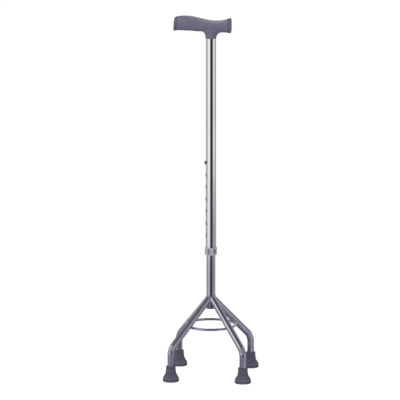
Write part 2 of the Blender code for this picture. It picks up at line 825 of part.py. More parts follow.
def make_handle_screw():
    """The pan-head screw behind the tube, with a cross recess."""
    seat = OUTER_RADIUS + SEAT_GAP
    head = SCREW_HEAD_DIAMETER / 2
    shank = SCREW_SHANK_DIAMETER / 2
    end = OUTER_BORE - SEAT_GAP - SCREW_DEPTH_IN_SPIGOT
    top = seat + SCREW_HEAD_HEIGHT
    screw = turned("handle_screw", [
        (0, top),
        (0.55 * head, top - 0.1 * SCREW_HEAD_HEIGHT),
        (0.9 * head, top - 0.4 * SCREW_HEAD_HEIGHT),
        (head, top - 0.8 * SCREW_HEAD_HEIGHT),
        (head, seat),
        (shank, seat),
        (shank, end + shank),
        (0, end),
    ], "zinc_washer", sides=SMALL_SIDES, location=(0, 0, SCREW_HEIGHT), rotation=(-math.pi / 2, 0, 0))
    for name, turn in (("screw_slot_upright", 0), ("screw_slot_level", math.pi / 2)):
        half = SCREW_SLOT_WIDTH / 2
        long_half = 0.55 * head
        slot = box(name, (-long_half, -half, top - SCREW_SLOT_DEPTH), (long_half, half, top + head))
        slot.location = (0, 0, SCREW_HEIGHT)
        slot.rotation_euler = (Matrix.Rotation(-math.pi / 2, 3, "X") @ Matrix.Rotation(turn, 3, "Z")).to_euler()
        cut(screw, slot)
    return screw


def make_cane():
    """Build every piece, and hang each moving body's pieces on its joint's axis."""
    height_axis = add_empty("height_slide_axis", (0, 0, OUTER_TUBE_BOTTOM))
    ring_axis = add_empty("lock_ring_axis", (0, 0, LOCK_RING_BASE_HEIGHT))
    button_axis = add_empty("snap_button_axis", (0, 0, BUTTON_HEIGHT), outward(BUTTON_BEARING))

    make_inner_tube()
    make_guide_bush()
    make_stem_plug()
    make_legs()
    make_tie_ring()
    make_feet()
    make_button_spring()
    make_snap_button(button_axis)
    hang_on(height_axis, make_outer_tube(), make_collet(), make_handle(), make_handle_screw())
    hang_on(ring_axis, make_lock_ring())
    hang_on(height_axis, ring_axis)


make_cane()
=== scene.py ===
"""Quad cane: the finer pieces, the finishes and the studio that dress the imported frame.

Everything is in metres with +Z up. The origin is on the floor under the shaft, -Y is the front,
and +X runs along the handle to its short nose end. Bearings are in degrees from +X.
"""

import logging
import math
from bisect import bisect
from dataclasses import dataclass, field
from enum import Enum
from functools import cache
from typing import Any, Iterable, Optional, Sequence

import bmesh
import bpy
from mathutils import Euler, Matrix, Vector

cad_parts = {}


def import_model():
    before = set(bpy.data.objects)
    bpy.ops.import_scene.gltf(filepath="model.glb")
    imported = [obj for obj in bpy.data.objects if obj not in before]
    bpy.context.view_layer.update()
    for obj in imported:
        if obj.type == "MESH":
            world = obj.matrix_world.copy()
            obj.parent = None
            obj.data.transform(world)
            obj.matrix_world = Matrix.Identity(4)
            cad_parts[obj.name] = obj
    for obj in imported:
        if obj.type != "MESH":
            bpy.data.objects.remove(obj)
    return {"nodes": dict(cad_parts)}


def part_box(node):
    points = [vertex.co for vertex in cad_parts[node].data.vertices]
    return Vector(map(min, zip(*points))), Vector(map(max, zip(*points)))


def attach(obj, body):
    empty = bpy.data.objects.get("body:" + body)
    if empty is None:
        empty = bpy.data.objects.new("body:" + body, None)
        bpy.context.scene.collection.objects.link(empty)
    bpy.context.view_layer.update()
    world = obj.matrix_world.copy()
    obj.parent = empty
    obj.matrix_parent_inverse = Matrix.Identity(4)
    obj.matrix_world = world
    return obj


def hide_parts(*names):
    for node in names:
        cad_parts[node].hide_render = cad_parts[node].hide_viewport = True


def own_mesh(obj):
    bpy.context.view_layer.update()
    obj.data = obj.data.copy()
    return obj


MM = 0.001
# Points closer than this are one point
TOUCHING = 1e-7
# The foot of each leg, and its bearing
CORNERS = {"front_left": 225.0, "front_right": 315.0, "rear_right": 45.0, "rear_left": 135.0}
# Sizes that more than one sub-assembly shares
FOOT_REACH = 149.0 * MM / math.sqrt(2)
STEM_RADIUS = 9.5 * MM
LOCK_RING_RADIUS = 12.7 * MM
BUTTON_HEIGHT = 446.6 * MM
BUTTON_BEARING = 210.0
SCREW_HEIGHT = 693.0 * MM
SCREW_BEARING = 90.0
AT_ORIGIN = Matrix.Identity(4)
# Nearly all of Blender's noise lies between these two values
NOISE_RANGE = (0.3, 0.7)
# How strongly large faces set the shading at their corners, where 50 is neutral
FACE_PULL = 90
# The numbers of a colour mix's two colours, among its inputs, and of its result
MIX_UNDER, MIX_OVER, MIX_RESULT = 6, 7, 2
Piece = bpy.types.Object
Socket = bpy.types.NodeSocket
Outline = list[tuple[float, float]]
log = logging.getLogger("quad_cane")


class Body(Enum):
    """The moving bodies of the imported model."""

    BASE = "base"
    UPPER_SHAFT = "upper_shaft"
    BUTTON = "button"
    LOCK = "lock"


class Slot(Enum):
    """The record's material slots."""

    SHAFT_CHROME = "shaft_chrome"
    LEG_CHROME = "leg_chrome"
    GRIP_PLASTIC = "grip_plastic"
    COLLAR_PLASTIC = "collar_plastic"
    BUTTON_STEEL = "button_steel"
    SPRING_STEEL = "spring_steel"
    WHITE_NYLON = "white_nylon"
    DARK_PLUG = "dark_plug"
    TIP_RUBBER = "tip_rubber"
    ZINC_STEEL = "zinc_steel"


class Joining(Enum):
    """What one piece does to another."""

    CUT = "DIFFERENCE"
    MELT = "UNION"


class End(Enum):
    """The two ends of the grip, by the side of the shaft that they are on."""

    PALM = -1
    NOSE = 1


def linear(code: str) -> tuple[float, float, float, float]:
    """Turn an sRGB hex colour, such as #808080, into linear red, green and blue and an alpha of 1."""
    shares = (int(code[i:i + 2], 16) / 255 for i in (1, 3, 5))
    return (*(s / 12.92 if s <= 0.04045 else ((s + 0.055) / 1.055) ** 2.4 for s in shares), 1.0)


def progress(value: float, start: float, full: float) -> float:
    """How far a value has come from a start, 0, to where it is full, 1."""
    return min(max((value - start) / (full - start), 0.0), 1.0)


class Tree:
    """A node tree in the making."""

    def __init__(self, tree: bpy.types.NodeTree) -> None:
        """Take hold of a node tree."""
        self.tree = tree

    def add(self, kind: str, inputs: Optional[dict[Any, Any]] = None, **settings: Any) -> Any:
        """Add a node with its settings, its input values and the links that feed it.

        Args:
            kind: the node's type name.
            inputs: input name or number, to a value or to the socket that feeds it.
            settings: properties of the node itself.

        Returns:
            The node's outputs.
        """
        node = self.tree.nodes.new(kind)
        for name, value in settings.items():
            setattr(node, name, value)
        for name, value in (inputs or {}).items():
            if isinstance(value, bpy.types.NodeSocket):
                self.tree.links.new(value, node.inputs[name])
            else:
                node.inputs[name].default_value = value
        return node.outputs


@dataclass(frozen=True)
class Grain:
    """A soft random pattern: its patches' width in metres, their stretch along x, y and z, its detail."""

    size: float
    stretch: tuple[float, float, float] = (1.0, 1.0, 1.0)
    detail: float = 3.0


class Skin(Tree):
    """A material in the making, with the steps that the finishes share."""

    def __init__(self, material: bpy.types.Material) -> None:
        """Take hold of a new material's nodes.

        Args:
            material: the material, which already uses nodes.
        """
        super().__init__(material.node_tree)
        self.shader = self.tree.nodes["Principled BSDF"]
        self.laid: dict[Grain, Socket] = {}

    def feed(self, name: str, value: Socket) -> None:
        """Link a value to one of the shader's inputs."""
        self.tree.links.new(value, self.shader.inputs[name])

    def fed(self, name: str) -> Any:
        """What one of the shader's inputs gets so far: a socket, or its own value."""
        inlet = self.shader.inputs[name]
        return inlet.links[0].from_socket if inlet.links else inlet.default_value

    def lay(self, grain: Grain) -> Socket:
        """Lay a grain in the piece's own coordinates, once for each skin.

        Args:
            grain: the pattern.

        Returns:
            The pattern's value.
        """
        if grain not in self.laid:
            scaled = self.add("ShaderNodeMapping", {
                "Vector": self.add("ShaderNodeTexCoord")["Object"],
                "Scale": [1 / (grain.size * share) for share in grain.stretch],
            })["Vector"]
            self.laid[grain] = self.add("ShaderNodeTexNoise", {
                "Vector": scaled, "Scale": 1.0, "Detail": grain.detail,
            })["Fac"]
        return self.laid[grain]

    def spread(self, grain: Grain, low: float, high: float) -> Socket:
        """Lay a grain that runs from one value to another.

        Args:
            grain: the pattern.
            low: the value in its low patches.
            high: the value in its high ones.

        Returns:
            The spread value.
        """
        return self.add("ShaderNodeMapRange", {
            "Value": self.lay(grain), "From Min": NOISE_RANGE[0], "From Max": NOISE_RANGE[1],
            "To Min": low, "To Max": high,
        })["Result"]

    def rise(self, low: float, high: float) -> Socket:
        """A smooth share that runs from 0 at one height to 1 at another.

        Args:
            low: where the share is 0, in metres.
            high: where the share is 1, in metres.

        Returns:
            The share.
        """
        split = self.add("ShaderNodeSeparateXYZ", {"Vector": self.add("ShaderNodeTexCoord")["Object"]})
        return self.add("ShaderNodeMapRange", {
            "Value": split["Z"], "From Min": low, "From Max": high,
        }, interpolation_type="SMOOTHSTEP")["Result"]

    def tint(self, share: Socket, code: str) -> None:
        """Lay another colour over the skin's colour.

        Args:
            share: how much of the new colour there is.
            code: the new colour.
        """
        self.feed("Base Color", self.add("ShaderNodeMix", {
            0: share, MIX_UNDER: self.fed("Base Color"), MIX_OVER: linear(code),
        }, data_type="RGBA")[MIX_RESULT])


@dataclass(frozen=True)
class Finish:
    """A real surface: its colour drifts, its gloss is uneven and it has a fine relief."""

    name: str
    slot: Slot
    colour: str
    drift_colour: str
    roughness: float
    metallic: float = 0.0
    # Right for each of the plastics and the rubber here, and Blender's own for the metals
    ior: float = 1.5
    drift: Grain = Grain(4 * MM)
    drift_share: float = 1.0
    # Without a grain of their own, the gloss and the relief follow the drift's
    gloss: Optional[Grain] = None
    gloss_range: tuple[float, float] = (-0.04, 0.04)
    relief: Optional[Grain] = None
    relief_depth: float = 0.01 * MM
    relief_strength: float = 0.4

    def material(self) -> bpy.types.Material:
        """Build the finish's material, or find it where it is built already.

        Returns:
            The material.
        """
        found = bpy.data.materials.get(self.name)
        if found:
            return found
        material = bpy.data.materials.new(self.name)
        material.use_nodes = True
        material.diffuse_color = linear(self.colour)
        skin = Skin(material)
        skin.shader.inputs["Base Color"].default_value = linear(self.colour)
        skin.shader.inputs["Roughness"].default_value = self.roughness
        skin.shader.inputs["Metallic"].default_value = self.metallic
        skin.shader.inputs["IOR"].default_value = self.ior
        self.add_pattern(skin)
        return material

    def add_pattern(self, skin: Skin) -> None:
        """Let the colour drift, the gloss vary and the relief stand out.

        Args:
            skin: the material in the making.
        """
        skin.tint(skin.spread(self.drift, 0.0, self.drift_share), self.drift_colour)
        low, high = (self.roughness + change for change in self.gloss_range)
        skin.feed("Roughness", skin.spread(self.gloss or self.drift, low, high))
        skin.feed("Normal", skin.add("ShaderNodeBump", {
            "Strength": self.relief_strength, "Distance": self.relief_depth,
            "Height": skin.lay(self.relief or self.drift),
        })["Normal"])


@dataclass(frozen=True)
class PlatedTube(Finish):
    """Chrome-plated steel tube: a mirror, with the haze and fine lines of polishing under the plate."""

    metallic: float = 1.0
    drift: Grain = Grain(26 * MM, (1.0, 1.0, 2.5))
    drift_share: float = 0.5
    gloss_range: tuple[float, float] = (0.0, 0.035)
    # Real polishing lines are about 0.1 mm apart, too fine for the picture, so these are coarser
    relief: Grain = Grain(0.9 * MM, (1.0, 1.0, 60.0), 2.0)
    relief_depth: float = 0.004 * MM
    relief_strength: float = 0.35


@dataclass(frozen=True)
class GripPlastic(Finish):
    """Moulded polypropylene with a fine spark-eroded grain, worn smoother where the palm lies, and a pale
    painted highlight along its crest.
    """

    drift: Grain = Grain(11 * MM, detail=4.0)
    gloss: Grain = Grain(5 * MM)
    # The mould's grain is about 0.2 mm, and is drawn coarser so that it shows
    relief: Grain = Grain(0.8 * MM, detail=1.0)
    relief_depth: float = 0.03 * MM
    relief_strength: float = 0.5
    # Colour of the painted highlight along the crest, where grazing light catches the top edge
    crest_highlight_colour: str = "#88878f"
    palm_start: float = 732 * MM
    palm_full: float = 751 * MM
    # How much roughness the palm has taken off
    palm_smoothing: float = 0.1

    def add_pattern(self, skin: Skin) -> None:
        """Add a pale painted highlight along the crest, and the smoother gloss towards the palm.

        Args:
            skin: the material in the making.
        """
        super().add_pattern(skin)
        # Painted highlight: the stored share lays a paler colour along the crest, most in the saddle
        skin.tint(skin.add("ShaderNodeAttribute", attribute_name="painted_crest_highlight")["Fac"], self.crest_highlight_colour)
        smoother = skin.add("ShaderNodeMath", {
            0: skin.rise(self.palm_start, self.palm_full), 1: -self.palm_smoothing,
            2: skin.fed("Roughness"),
        }, operation="MULTIPLY_ADD")[0]
        skin.feed("Roughness", smoother)


@dataclass(frozen=True)
class MouldedPlastic(Finish):
    """Plastic from a smooth mould: slight flow marks in the colour and a soft, even gloss."""

    drift: Grain = Grain(4 * MM, (1.0, 1.0, 2.0))
    gloss: Grain = Grain(2 * MM)
    gloss_range: tuple[float, float] = (-0.04, 0.06)
    relief: Grain = Grain(1 * MM)


@dataclass(frozen=True)
class ScallopedPlastic(MouldedPlastic):
    """Smooth moulded plastic whose finger scallops are stippled and painted darker, as shade in their
    hollows.
    """

    # Painted shade in the scallops' hollows
    scallop_shade_colour: str = "#7b7887"
    scallop_edge: float = 0.03 * MM
    scallop_floor: float = 0.28 * MM
    low_rim: float = 253.2 * MM
    high_rim: float = 267.4 * MM
    rim_fade: float = 0.4 * MM

    def add_pattern(self, skin: Skin) -> None:
        """Paint shade into the scallops, which lie inside the ring's outside and between its rims.

        Args:
            skin: the material in the making.
        """
        super().add_pattern(skin)
        place = skin.add("ShaderNodeTexCoord")["Object"]
        level = skin.add("ShaderNodeVectorMath", {0: place, 1: (1, 1, 0)}, operation="MULTIPLY")[0]
        radius = skin.add("ShaderNodeVectorMath", {0: level}, operation="LENGTH")["Value"]
        share = skin.add("ShaderNodeMapRange", {
            "Value": radius, "From Min": LOCK_RING_RADIUS - self.scallop_edge,
            "From Max": LOCK_RING_RADIUS - self.scallop_floor,
        })["Result"]
        for rim, inside in ((self.low_rim, self.rim_fade), (self.high_rim, -self.rim_fade)):
            share = skin.add("ShaderNodeMath", {0: share, 1: skin.rise(rim, rim + inside)},
                             operation="MULTIPLY")[0]
        # Painted shade: the scallops' hollows are laid darker
        skin.tint(share, self.scallop_shade_colour)


@dataclass(frozen=True)
class TipRubber(Finish):
    """Moulded grey rubber: matt, a little mottled, dusty and scuffed towards the floor, with a painted
    highlight on the ledge above the base.
    """

    drift: Grain = Grain(6 * MM)
    gloss: Grain = Grain(4 * MM)
    gloss_range: tuple[float, float] = (-0.08, 0.08)
    # The mould's pebbles are about 0.4 mm, and are drawn coarser so that they show
    relief: Grain = Grain(0.9 * MM, detail=2.0)
    relief_depth: float = 0.05 * MM
    relief_strength: float = 0.6
    # Dusty patches by the floor and the painted highlight on the ledge share this colour and grain
    dust_and_sheen_colour: str = "#7a7780"
    dust_and_sheen_grain: Grain = Grain(3 * MM, detail=5.0)
    dust_and_sheen_range: tuple[float, float] = (0.2, 0.75)
    floor_dust_height: float = 3 * MM
    # The ledge's painted highlight lies between the low and the high, and is full between the middle two
    ledge_low: float = 5.6 * MM
    ledge_full: tuple[float, float] = (6.4 * MM, 7.1 * MM)
    ledge_high: float = 10.5 * MM

    def add_pattern(self, skin: Skin) -> None:
        """Lay dusty patches by the floor, and a painted highlight in patches on the ledge above the base.

        Args:
            skin: the material in the making.
        """
        super().add_pattern(skin)
        ledge = skin.add("ShaderNodeMath", {
            0: skin.rise(self.ledge_low, self.ledge_full[0]),
            1: skin.rise(self.ledge_high, self.ledge_full[1]),
        }, operation="MULTIPLY")[0]
        where = skin.add("ShaderNodeMath", {0: skin.rise(self.floor_dust_height, 0.0), 1: ledge},
                         operation="MAXIMUM")[0]
        share = skin.add("ShaderNodeMath", {0: where, 1: skin.spread(self.dust_and_sheen_grain, *self.dust_and_sheen_range)},
                         operation="MULTIPLY")[0]
        # Real dusty patches by the floor, and a painted highlight on the ledge above the base
        skin.tint(share, self.dust_and_sheen_colour)


@dataclass(frozen=True)
class WorkedSteel(Finish):
    """Small steel parts, plated or bright: the marks of the tool show in colour, gloss and relief."""

    metallic: float = 1.0
    # Tool marks are some 0.1 mm wide, and are drawn coarser so that they show
    drift: Grain = Grain(1.2 * MM)
    gloss_range: tuple[float, float] = (-0.06, 0.12)


# Bright plate over a drawn tube: a clean mirror, its lines drawn out along the shaft
SHAFT_CHROME = PlatedTube("chrome_plated_drawn_tube", Slot.SHAFT_CHROME, "#ededee", "#d4d3da", 0.035)
# The same plate over bent and welded tube: more haze is left, so the mirror is greyer and softer
LEG_CHROME = PlatedTube("chrome_plated_bent_tube", Slot.LEG_CHROME, "#dddce1", "#c4c2cc", 0.05,
                        drift=Grain(14 * MM, (1.0, 1.0, 2.5)), gloss_range=(0.0, 0.06),
                        relief=Grain(0.9 * MM, detail=2.0), relief_depth=0.002 * MM)
# Grained polypropylene: a violet grey with a low, broken sheen, and a pale painted highlight along the crest
GRIP_PLASTIC = GripPlastic("moulded_polypropylene_grip", Slot.GRIP_PLASTIC, "#686579", "#716e82", 0.46)
# The same plastic for the caps: a touch darker, as painted shade on the rounded ends, and duller, so that
# the caps show
SHADED_CAP_PLASTIC = GripPlastic("polypropylene_cap_painted_shade", Slot.GRIP_PLASTIC, "#625f72", "#6a677a", 0.5)
# Acetal: hard, pale and slippery, with the tightest highlight of the plastics
COLLAR_PLASTIC = ScallopedPlastic("moulded_acetal_ring", Slot.COLLAR_PLASTIC, "#b7b5c1", "#aeacb9", 0.26)
# Undyed nylon: a warm white with a waxy, wide highlight
NYLON = MouldedPlastic("moulded_white_nylon", Slot.WHITE_NYLON, "#e2e2dc", "#d6d5cc", 0.42)
# Dyed polyethylene: nearly black, and soft in its gloss
DARK_PLUG = MouldedPlastic("moulded_dark_plug", Slot.DARK_PLUG, "#34343a", "#3e3e44", 0.45)
# Rubber: matt, so that it takes its shape from the light and hardly mirrors anything
RUBBER = TipRubber("moulded_grey_rubber", Slot.TIP_RUBBER, "#5d5a6c", "#53505f", 0.7)
# Nickel plate on a pressed button: darker than chrome, with a small blurred glint
BUTTON_STEEL = WorkedSteel("plated_button_steel", Slot.BUTTON_STEEL, "#a8a8af", "#97979f", 0.34)
# Rolled strip: a satin gloss with marks along the rolling
SPRING_STEEL = WorkedSteel("rolled_spring_steel", Slot.SPRING_STEEL, "#999ba3", "#8e8f94", 0.28,
                           drift=Grain(1.2 * MM, (1.0, 1.0, 12.0)))
# Zinc plate: bright but cloudy, a little bluer than steel
ZINC_STEEL = WorkedSteel("zinc_plated_steel", Slot.ZINC_STEEL, "#bdbfc4", "#a9adb4", 0.3)


def new_object(name: str, data: bpy.types.ID) -> Piece:
    """Put a mesh, a lamp or a camera in the scene.

    Args:
        name: the object's name.
        data: what the object shows.

    Returns:
        The object, at the origin.
    """
    piece = bpy.data.objects.new(name, data)
    bpy.context.scene.collection.objects.link(piece)
    return piece


def from_bmesh(name: str, bm: bmesh.types.BMesh, place: Matrix = AT_ORIGIN) -> Piece:
    """Make an object of a closed bmesh, with its faces turned outwards and its place in its mesh.

    Args:
        name: the object's name.
        bm: the shape. It is freed.
        place: where the shape goes.

    Returns:
        The object, at the origin.
    """
    bm.transform(place)
    bmesh.ops.recalc_face_normals(bm, faces=bm.faces)
    mesh = bpy.data.meshes.new(name)
    bm.to_mesh(mesh)
    bm.free()
    return new_object(name, mesh)


def block(name: str, sizes: Sequence[float], place: Matrix) -> Piece:
    """A rectangular block.

    Args:
        name: the object's name.
        sizes: its sizes along x, y and z.
        place: where its middle goes.

    Returns:
        The block.
    """
    bm = bmesh.new()
    bmesh.ops.create_cube(bm, size=1.0)
    return from_bmesh(name, bm, place @ Matrix.Diagonal((*sizes, 1.0)))


def wire(name: str, points: Sequence[Sequence[float]], edges: Sequence[tuple[int, int]]) -> Piece:
    """A bare line of edges for a tree to follow.

    Args:
        name: the object's name.
        points: the line's points.
        edges: the pairs of points that it joins.

    Returns:
        The line.
    """
    mesh = bpy.data.meshes.new(name)
    mesh.from_pydata(points, edges, [])
    return new_object(name, mesh)


def smooth(piece: Piece, angle: float = 32.0) -> Piece:
    """Shade a piece smooth, with a crease where its faces turn sharply.

    Args:
        piece: the piece.
        angle: from this turn on, in degrees, there is a crease.

    Returns:
        The same piece.
    """
    piece.data.shade_smooth()
    piece.data.set_sharp_from_angle(angle=math.radians(angle))
    return piece


def settle(piece: Piece) -> Piece:
    """Work a piece's modifiers into a plain mesh of its own.

    Args:
        piece: the piece.

    Returns:
        The same piece, without modifiers.
    """
    bpy.context.view_layer.update()
    graph = bpy.context.evaluated_depsgraph_get()
    mesh = bpy.data.meshes.new_from_object(piece.evaluated_get(graph))
    mesh.name = piece.name
    piece.modifiers.clear()
    piece.data = mesh
    return piece


def rounded(corners: Sequence[Sequence[float]], steps: int = 5) -> Outline:
    """Round the corners of a closed outline.

    Args:
        corners: (radius, height, length of the rounding) in order round the outline.
        steps: how many straight pieces each rounding has.

    Returns:
        The outline's points.
    """
    points = []
    for i, (x, z, length) in enumerate(corners):
        here = Vector((x, z))
        if not length:
            points.append((x, z))
            continue
        back, ahead = (
            (Vector(corners[k % len(corners)][:2]) - here).normalized() * length for k in (i - 1, i + 1)
        )
        for step in range(steps + 1):
            t = step / steps
            points.append(tuple(here + back * (1 - t) ** 2 + ahead * t**2))
    return points


def dome(radius: float, rim: float, rise: float, steps: int) -> Outline:
    """The outline of a dome that rises above its rim, from the top down, in this many steps."""
    angles = (math.pi / 2 * step / steps for step in range(steps + 1))
    return [(radius * math.sin(angle), rim + rise * math.cos(angle)) for angle in angles]


def turned(name: str, outline: Iterable[Sequence[float]], sides: int = 96,
           place: Matrix = AT_ORIGIN) -> Piece:
    """Turn an outline of (radius, height) points about the Z axis.

    Args:
        name: the object's name.
        outline: points from axis to axis, or a closed loop for a ring.
        sides: how many faces go round.
        place: where the piece goes.

    Returns:
        The closed piece.
    """
    bm = bmesh.new()
    rings = []
    for radius, height in outline:
        count = sides if radius > TOUCHING else 1
        rings.append([
            bm.verts.new((radius * math.cos(a), radius * math.sin(a), height))
            for a in (math.tau * i / sides for i in range(count))
        ])
    pairs = list(zip(rings, rings[1:]))
    if len(rings[0]) > 1:
        pairs.append((rings[-1], rings[0]))
    for one, two in pairs:
        for i in range(sides):
            ends = (one[i % len(one)], one[(i + 1) % len(one)],
                    two[(i + 1) % len(two)], two[i % len(two)])
            corners = list(dict.fromkeys(ends))
            if len(corners) > 2:
                bm.faces.new(corners)
    return smooth(from_bmesh(name, bm, place))


def loft(name: str, sections: Sequence[Sequence[Vector]], place: Matrix = AT_ORIGIN) -> Piece:
    """Skin closed sections that have the same number of points, and close both ends.

    Args:
        name: the object's name.
        sections: the sections in order.
        place: where the piece goes.

    Returns:
        The closed piece.
    """
    bm = bmesh.new()
    rings = [[bm.verts.new(point) for point in section] for section in sections]
    count = len(rings[0])
    for one, two in zip(rings, rings[1:]):
        for i in range(count):
            j = (i + 1) % count
            bm.faces.new((one[i], one[j], two[j], two[i]))
    for ring in (rings[0], rings[-1]):
        middle = bm.verts.new(sum((v.co for v in ring), Vector()) / count)
        for i in range(count):
            bm.faces.new((ring[i], ring[(i + 1) % count], middle))
    return smooth(from_bmesh(name, bm, place))


def combine(piece: Piece, other: Piece, joining: Joining = Joining.CUT) -> Piece:
    """Cut a piece with another, or melt the other into it. The other is used up.

    Args:
        piece: the piece to change.
        other: the cutter or the addition.
        joining: what the other does.

    Returns:
        The changed piece.
    """
    boolean = piece.modifiers.new("Combine", "BOOLEAN")
    boolean.operation = joining.value
    boolean.solver = "EXACT"
    boolean.object = other
    settle(piece)
    bpy.data.objects.remove(other, do_unlink=True)
    return piece


def ease_edges(piece: Piece, width: float, steps: int = 2, angle: float = 40.0) -> Piece:
    """Take the sharpness off a piece's edges.

    Args:
        piece: the piece.
        width: width of the eased edge in metres.
        steps: how many faces it has.
        angle: edges that turn by less than this, in degrees, stay as they are.

    Returns:
        The eased piece, shaded smooth.
    """
    bevel = piece.modifiers.new("Ease", "BEVEL")
    bevel.width = width
    bevel.segments = steps
    bevel.limit_method = "ANGLE"
    bevel.angle_limit = math.radians(angle)
    return smooth(settle(piece))


def turn_to(bearing: float) -> Matrix:
    """The turn about Z that brings +X to a bearing."""
    return Matrix.Rotation(math.radians(bearing), 4, "Z")


def around_shaft(bearing: float, reach: float, height: float) -> Vector:
    """The point at a bearing and a reach from the shaft's axis, and at a height."""
    angle = math.radians(bearing)
    return Vector((reach * math.cos(angle), reach * math.sin(angle), height))


def out_from_shaft(bearing: float, height: float) -> Matrix:
    """Lay a turned piece's own axis level, so that it points out from the shaft."""
    turn = Euler((0.0, math.pi / 2, math.radians(bearing))).to_matrix().to_4x4()
    return Matrix.Translation((0, 0, height)) @ turn


class Growth(Tree):
    """A Geometry Nodes tree that makes a shape from named sizes."""

    def __init__(self, name: str, **sizes: str) -> None:
        """Start a tree.

        Args:
            name: the tree's name.
            sizes: each input's key, to its kind: Float, Int or Geometry.
        """
        super().__init__(bpy.data.node_groups.new(name, "GeometryNodeTree"))
        self.tree.is_modifier = True
        for key, kind in {**sizes, "finish": "Material"}.items():
            self.tree.interface.new_socket(self.label(key), in_out="INPUT", socket_type=f"NodeSocket{kind}")
        self.tree.interface.new_socket("Shape", in_out="OUTPUT", socket_type="NodeSocketGeometry")
        self.given = self.add("NodeGroupInput")

    @staticmethod
    def label(key: str) -> str:
        """The name that an input shows for its key."""
        return key.replace("_", " ").capitalize()

    def size(self, key: str) -> Socket:
        """The socket of a named input."""
        return self.given[self.label(key)]

    def close(self, shape: Socket) -> "Growth":
        """End the tree in Realize Instances and Set Material.

        Args:
            shape: the finished shape.

        Returns:
            The tree itself.
        """
        real = self.add("GeometryNodeRealizeInstances", {"Geometry": shape})["Geometry"]
        dressed = self.add("GeometryNodeSetMaterial", {
            "Geometry": real, "Material": self.size("finish"),
        })["Geometry"]
        self.add("NodeGroupOutput", {"Shape": dressed})
        return self

    def sweep(self, path: Socket, swell: Any = 1.0) -> "Growth":
        """End the tree in a tube along a path, with the radius and the sides it is given.

        Args:
            path: the curve that the tube follows.
            swell: what the radius is multiplied by along it.

        Returns:
            The tree itself.
        """
        ring = self.add("GeometryNodeCurvePrimitiveCircle", {
            "Resolution": self.size("sides"), "Radius": self.size("radius"),
        })["Curve"]
        return self.close(self.add("GeometryNodeCurveToMesh", {
            "Curve": path, "Profile Curve": ring, "Scale": swell, "Fill Caps": True,
        })["Mesh"])

    def scatter(self, points: Socket, shape: Socket, turn: Socket) -> "Growth":
        """End the tree in copies of a shape.

        Args:
            points: where the copies go.
            shape: the shape.
            turn: each copy's turns about x, y and z.

        Returns:
            The tree itself.
        """
        return self.close(self.add("GeometryNodeInstanceOnPoints", {
            "Points": points, "Instance": shape,
            "Rotation": self.add("FunctionNodeEulerToRotation", {"Euler": turn})["Rotation"],
        })["Instances"])

    def grow(self, name: str, finish: Finish, base: Optional[Piece] = None, **values: Any) -> Piece:
        """Run the tree with its sizes and keep the result as a plain mesh.

        Args:
            name: the new piece's name.
            finish: the new piece's finish.
            base: an object whose mesh the tree starts from. It is used up.
            values: a value for each other input, by its key.

        Returns:
            The piece, at the origin.
        """
        piece = new_object(name, base.data if base else bpy.data.meshes.new(name))
        if base:
            bpy.data.objects.remove(base, do_unlink=True)
        modifier = piece.modifiers.new(self.tree.name, "NODES")
        modifier.node_group = self.tree
        identifiers = {item.name: item.identifier for item in self.tree.interface.items_tree}
        for key, value in {**values, "finish": finish.material()}.items():
            modifier[identifiers[self.label(key)]] = value
        return settle(piece)


@cache
def bent_tube_growth() -> Growth:
    """A tube that follows a line of straight stretches, with its corners bent to a radius.

    Returns:
        The tree.
    """
    g = Growth("bent_tube", line="Geometry", bend_radius="Float", bend_steps="Int",
               radius="Float", sides="Int")
    line = g.add("GeometryNodeMeshToCurve", {"Mesh": g.size("line")})["Curve"]
    return g.sweep(g.add("GeometryNodeFilletCurve", {
        "Curve": line, "Count": g.size("bend_steps"), "Radius": g.size("bend_radius"),
    }, mode="POLY")["Curve"])


@cache
def punch_row_growth() -> Growth:
    """A row of level punches, one under another, that cut holes in a tube's side.

    Returns:
        The tree.
    """
    g = Growth("punch_row", count="Int", pitch="Float", radius="Float", reach="Float",
               top="Float", bearing="Float", sides="Int")
    drop = g.add("ShaderNodeMath", {0: g.size("pitch"), 1: -1.0}, operation="MULTIPLY")[0]
    row = g.add("GeometryNodeMeshLine", {
        "Count": g.size("count"),
        "Start Location": g.add("ShaderNodeCombineXYZ", {"Z": g.size("top")})["Vector"],
        "Offset": g.add("ShaderNodeCombineXYZ", {"Z": drop})["Vector"],
    })["Mesh"]
    punch = g.add("GeometryNodeMeshCylinder", {
        "Vertices": g.size("sides"), "Radius": g.size("radius"), "Depth": g.size("reach"),
    })["Mesh"]
    half = g.add("ShaderNodeMath", {0: g.size("reach"), 1: 0.5}, operation="MULTIPLY")[0]
    moved = g.add("GeometryNodeTransform", {
        "Geometry": punch, "Translation": g.add("ShaderNodeCombineXYZ", {"Z": half})["Vector"],
    })["Geometry"]
    turn = g.add("ShaderNodeCombineXYZ", {"Y": math.pi / 2, "Z": g.size("bearing")})["Vector"]
    return g.scatter(row, moved, turn)


@cache
def round_growth() -> Growth:
    """Copies of a shape set evenly round the Z axis.

    Returns:
        The tree.
    """
    g = Growth("set_round", shape="Geometry", count="Int")
    spots = g.add("GeometryNodeMeshLine", {"Count": g.size("count"), "Offset": (0, 0, 0)})["Mesh"]
    share = g.add("ShaderNodeMath", {
        0: g.add("GeometryNodeInputIndex")["Index"], 1: g.size("count"),
    }, operation="DIVIDE")[0]
    angle = g.add("ShaderNodeMath", {0: share, 1: math.tau}, operation="MULTIPLY")[0]
    return g.scatter(spots, g.size("shape"), g.add("ShaderNodeCombineXYZ", {"Z": angle})["Vector"])


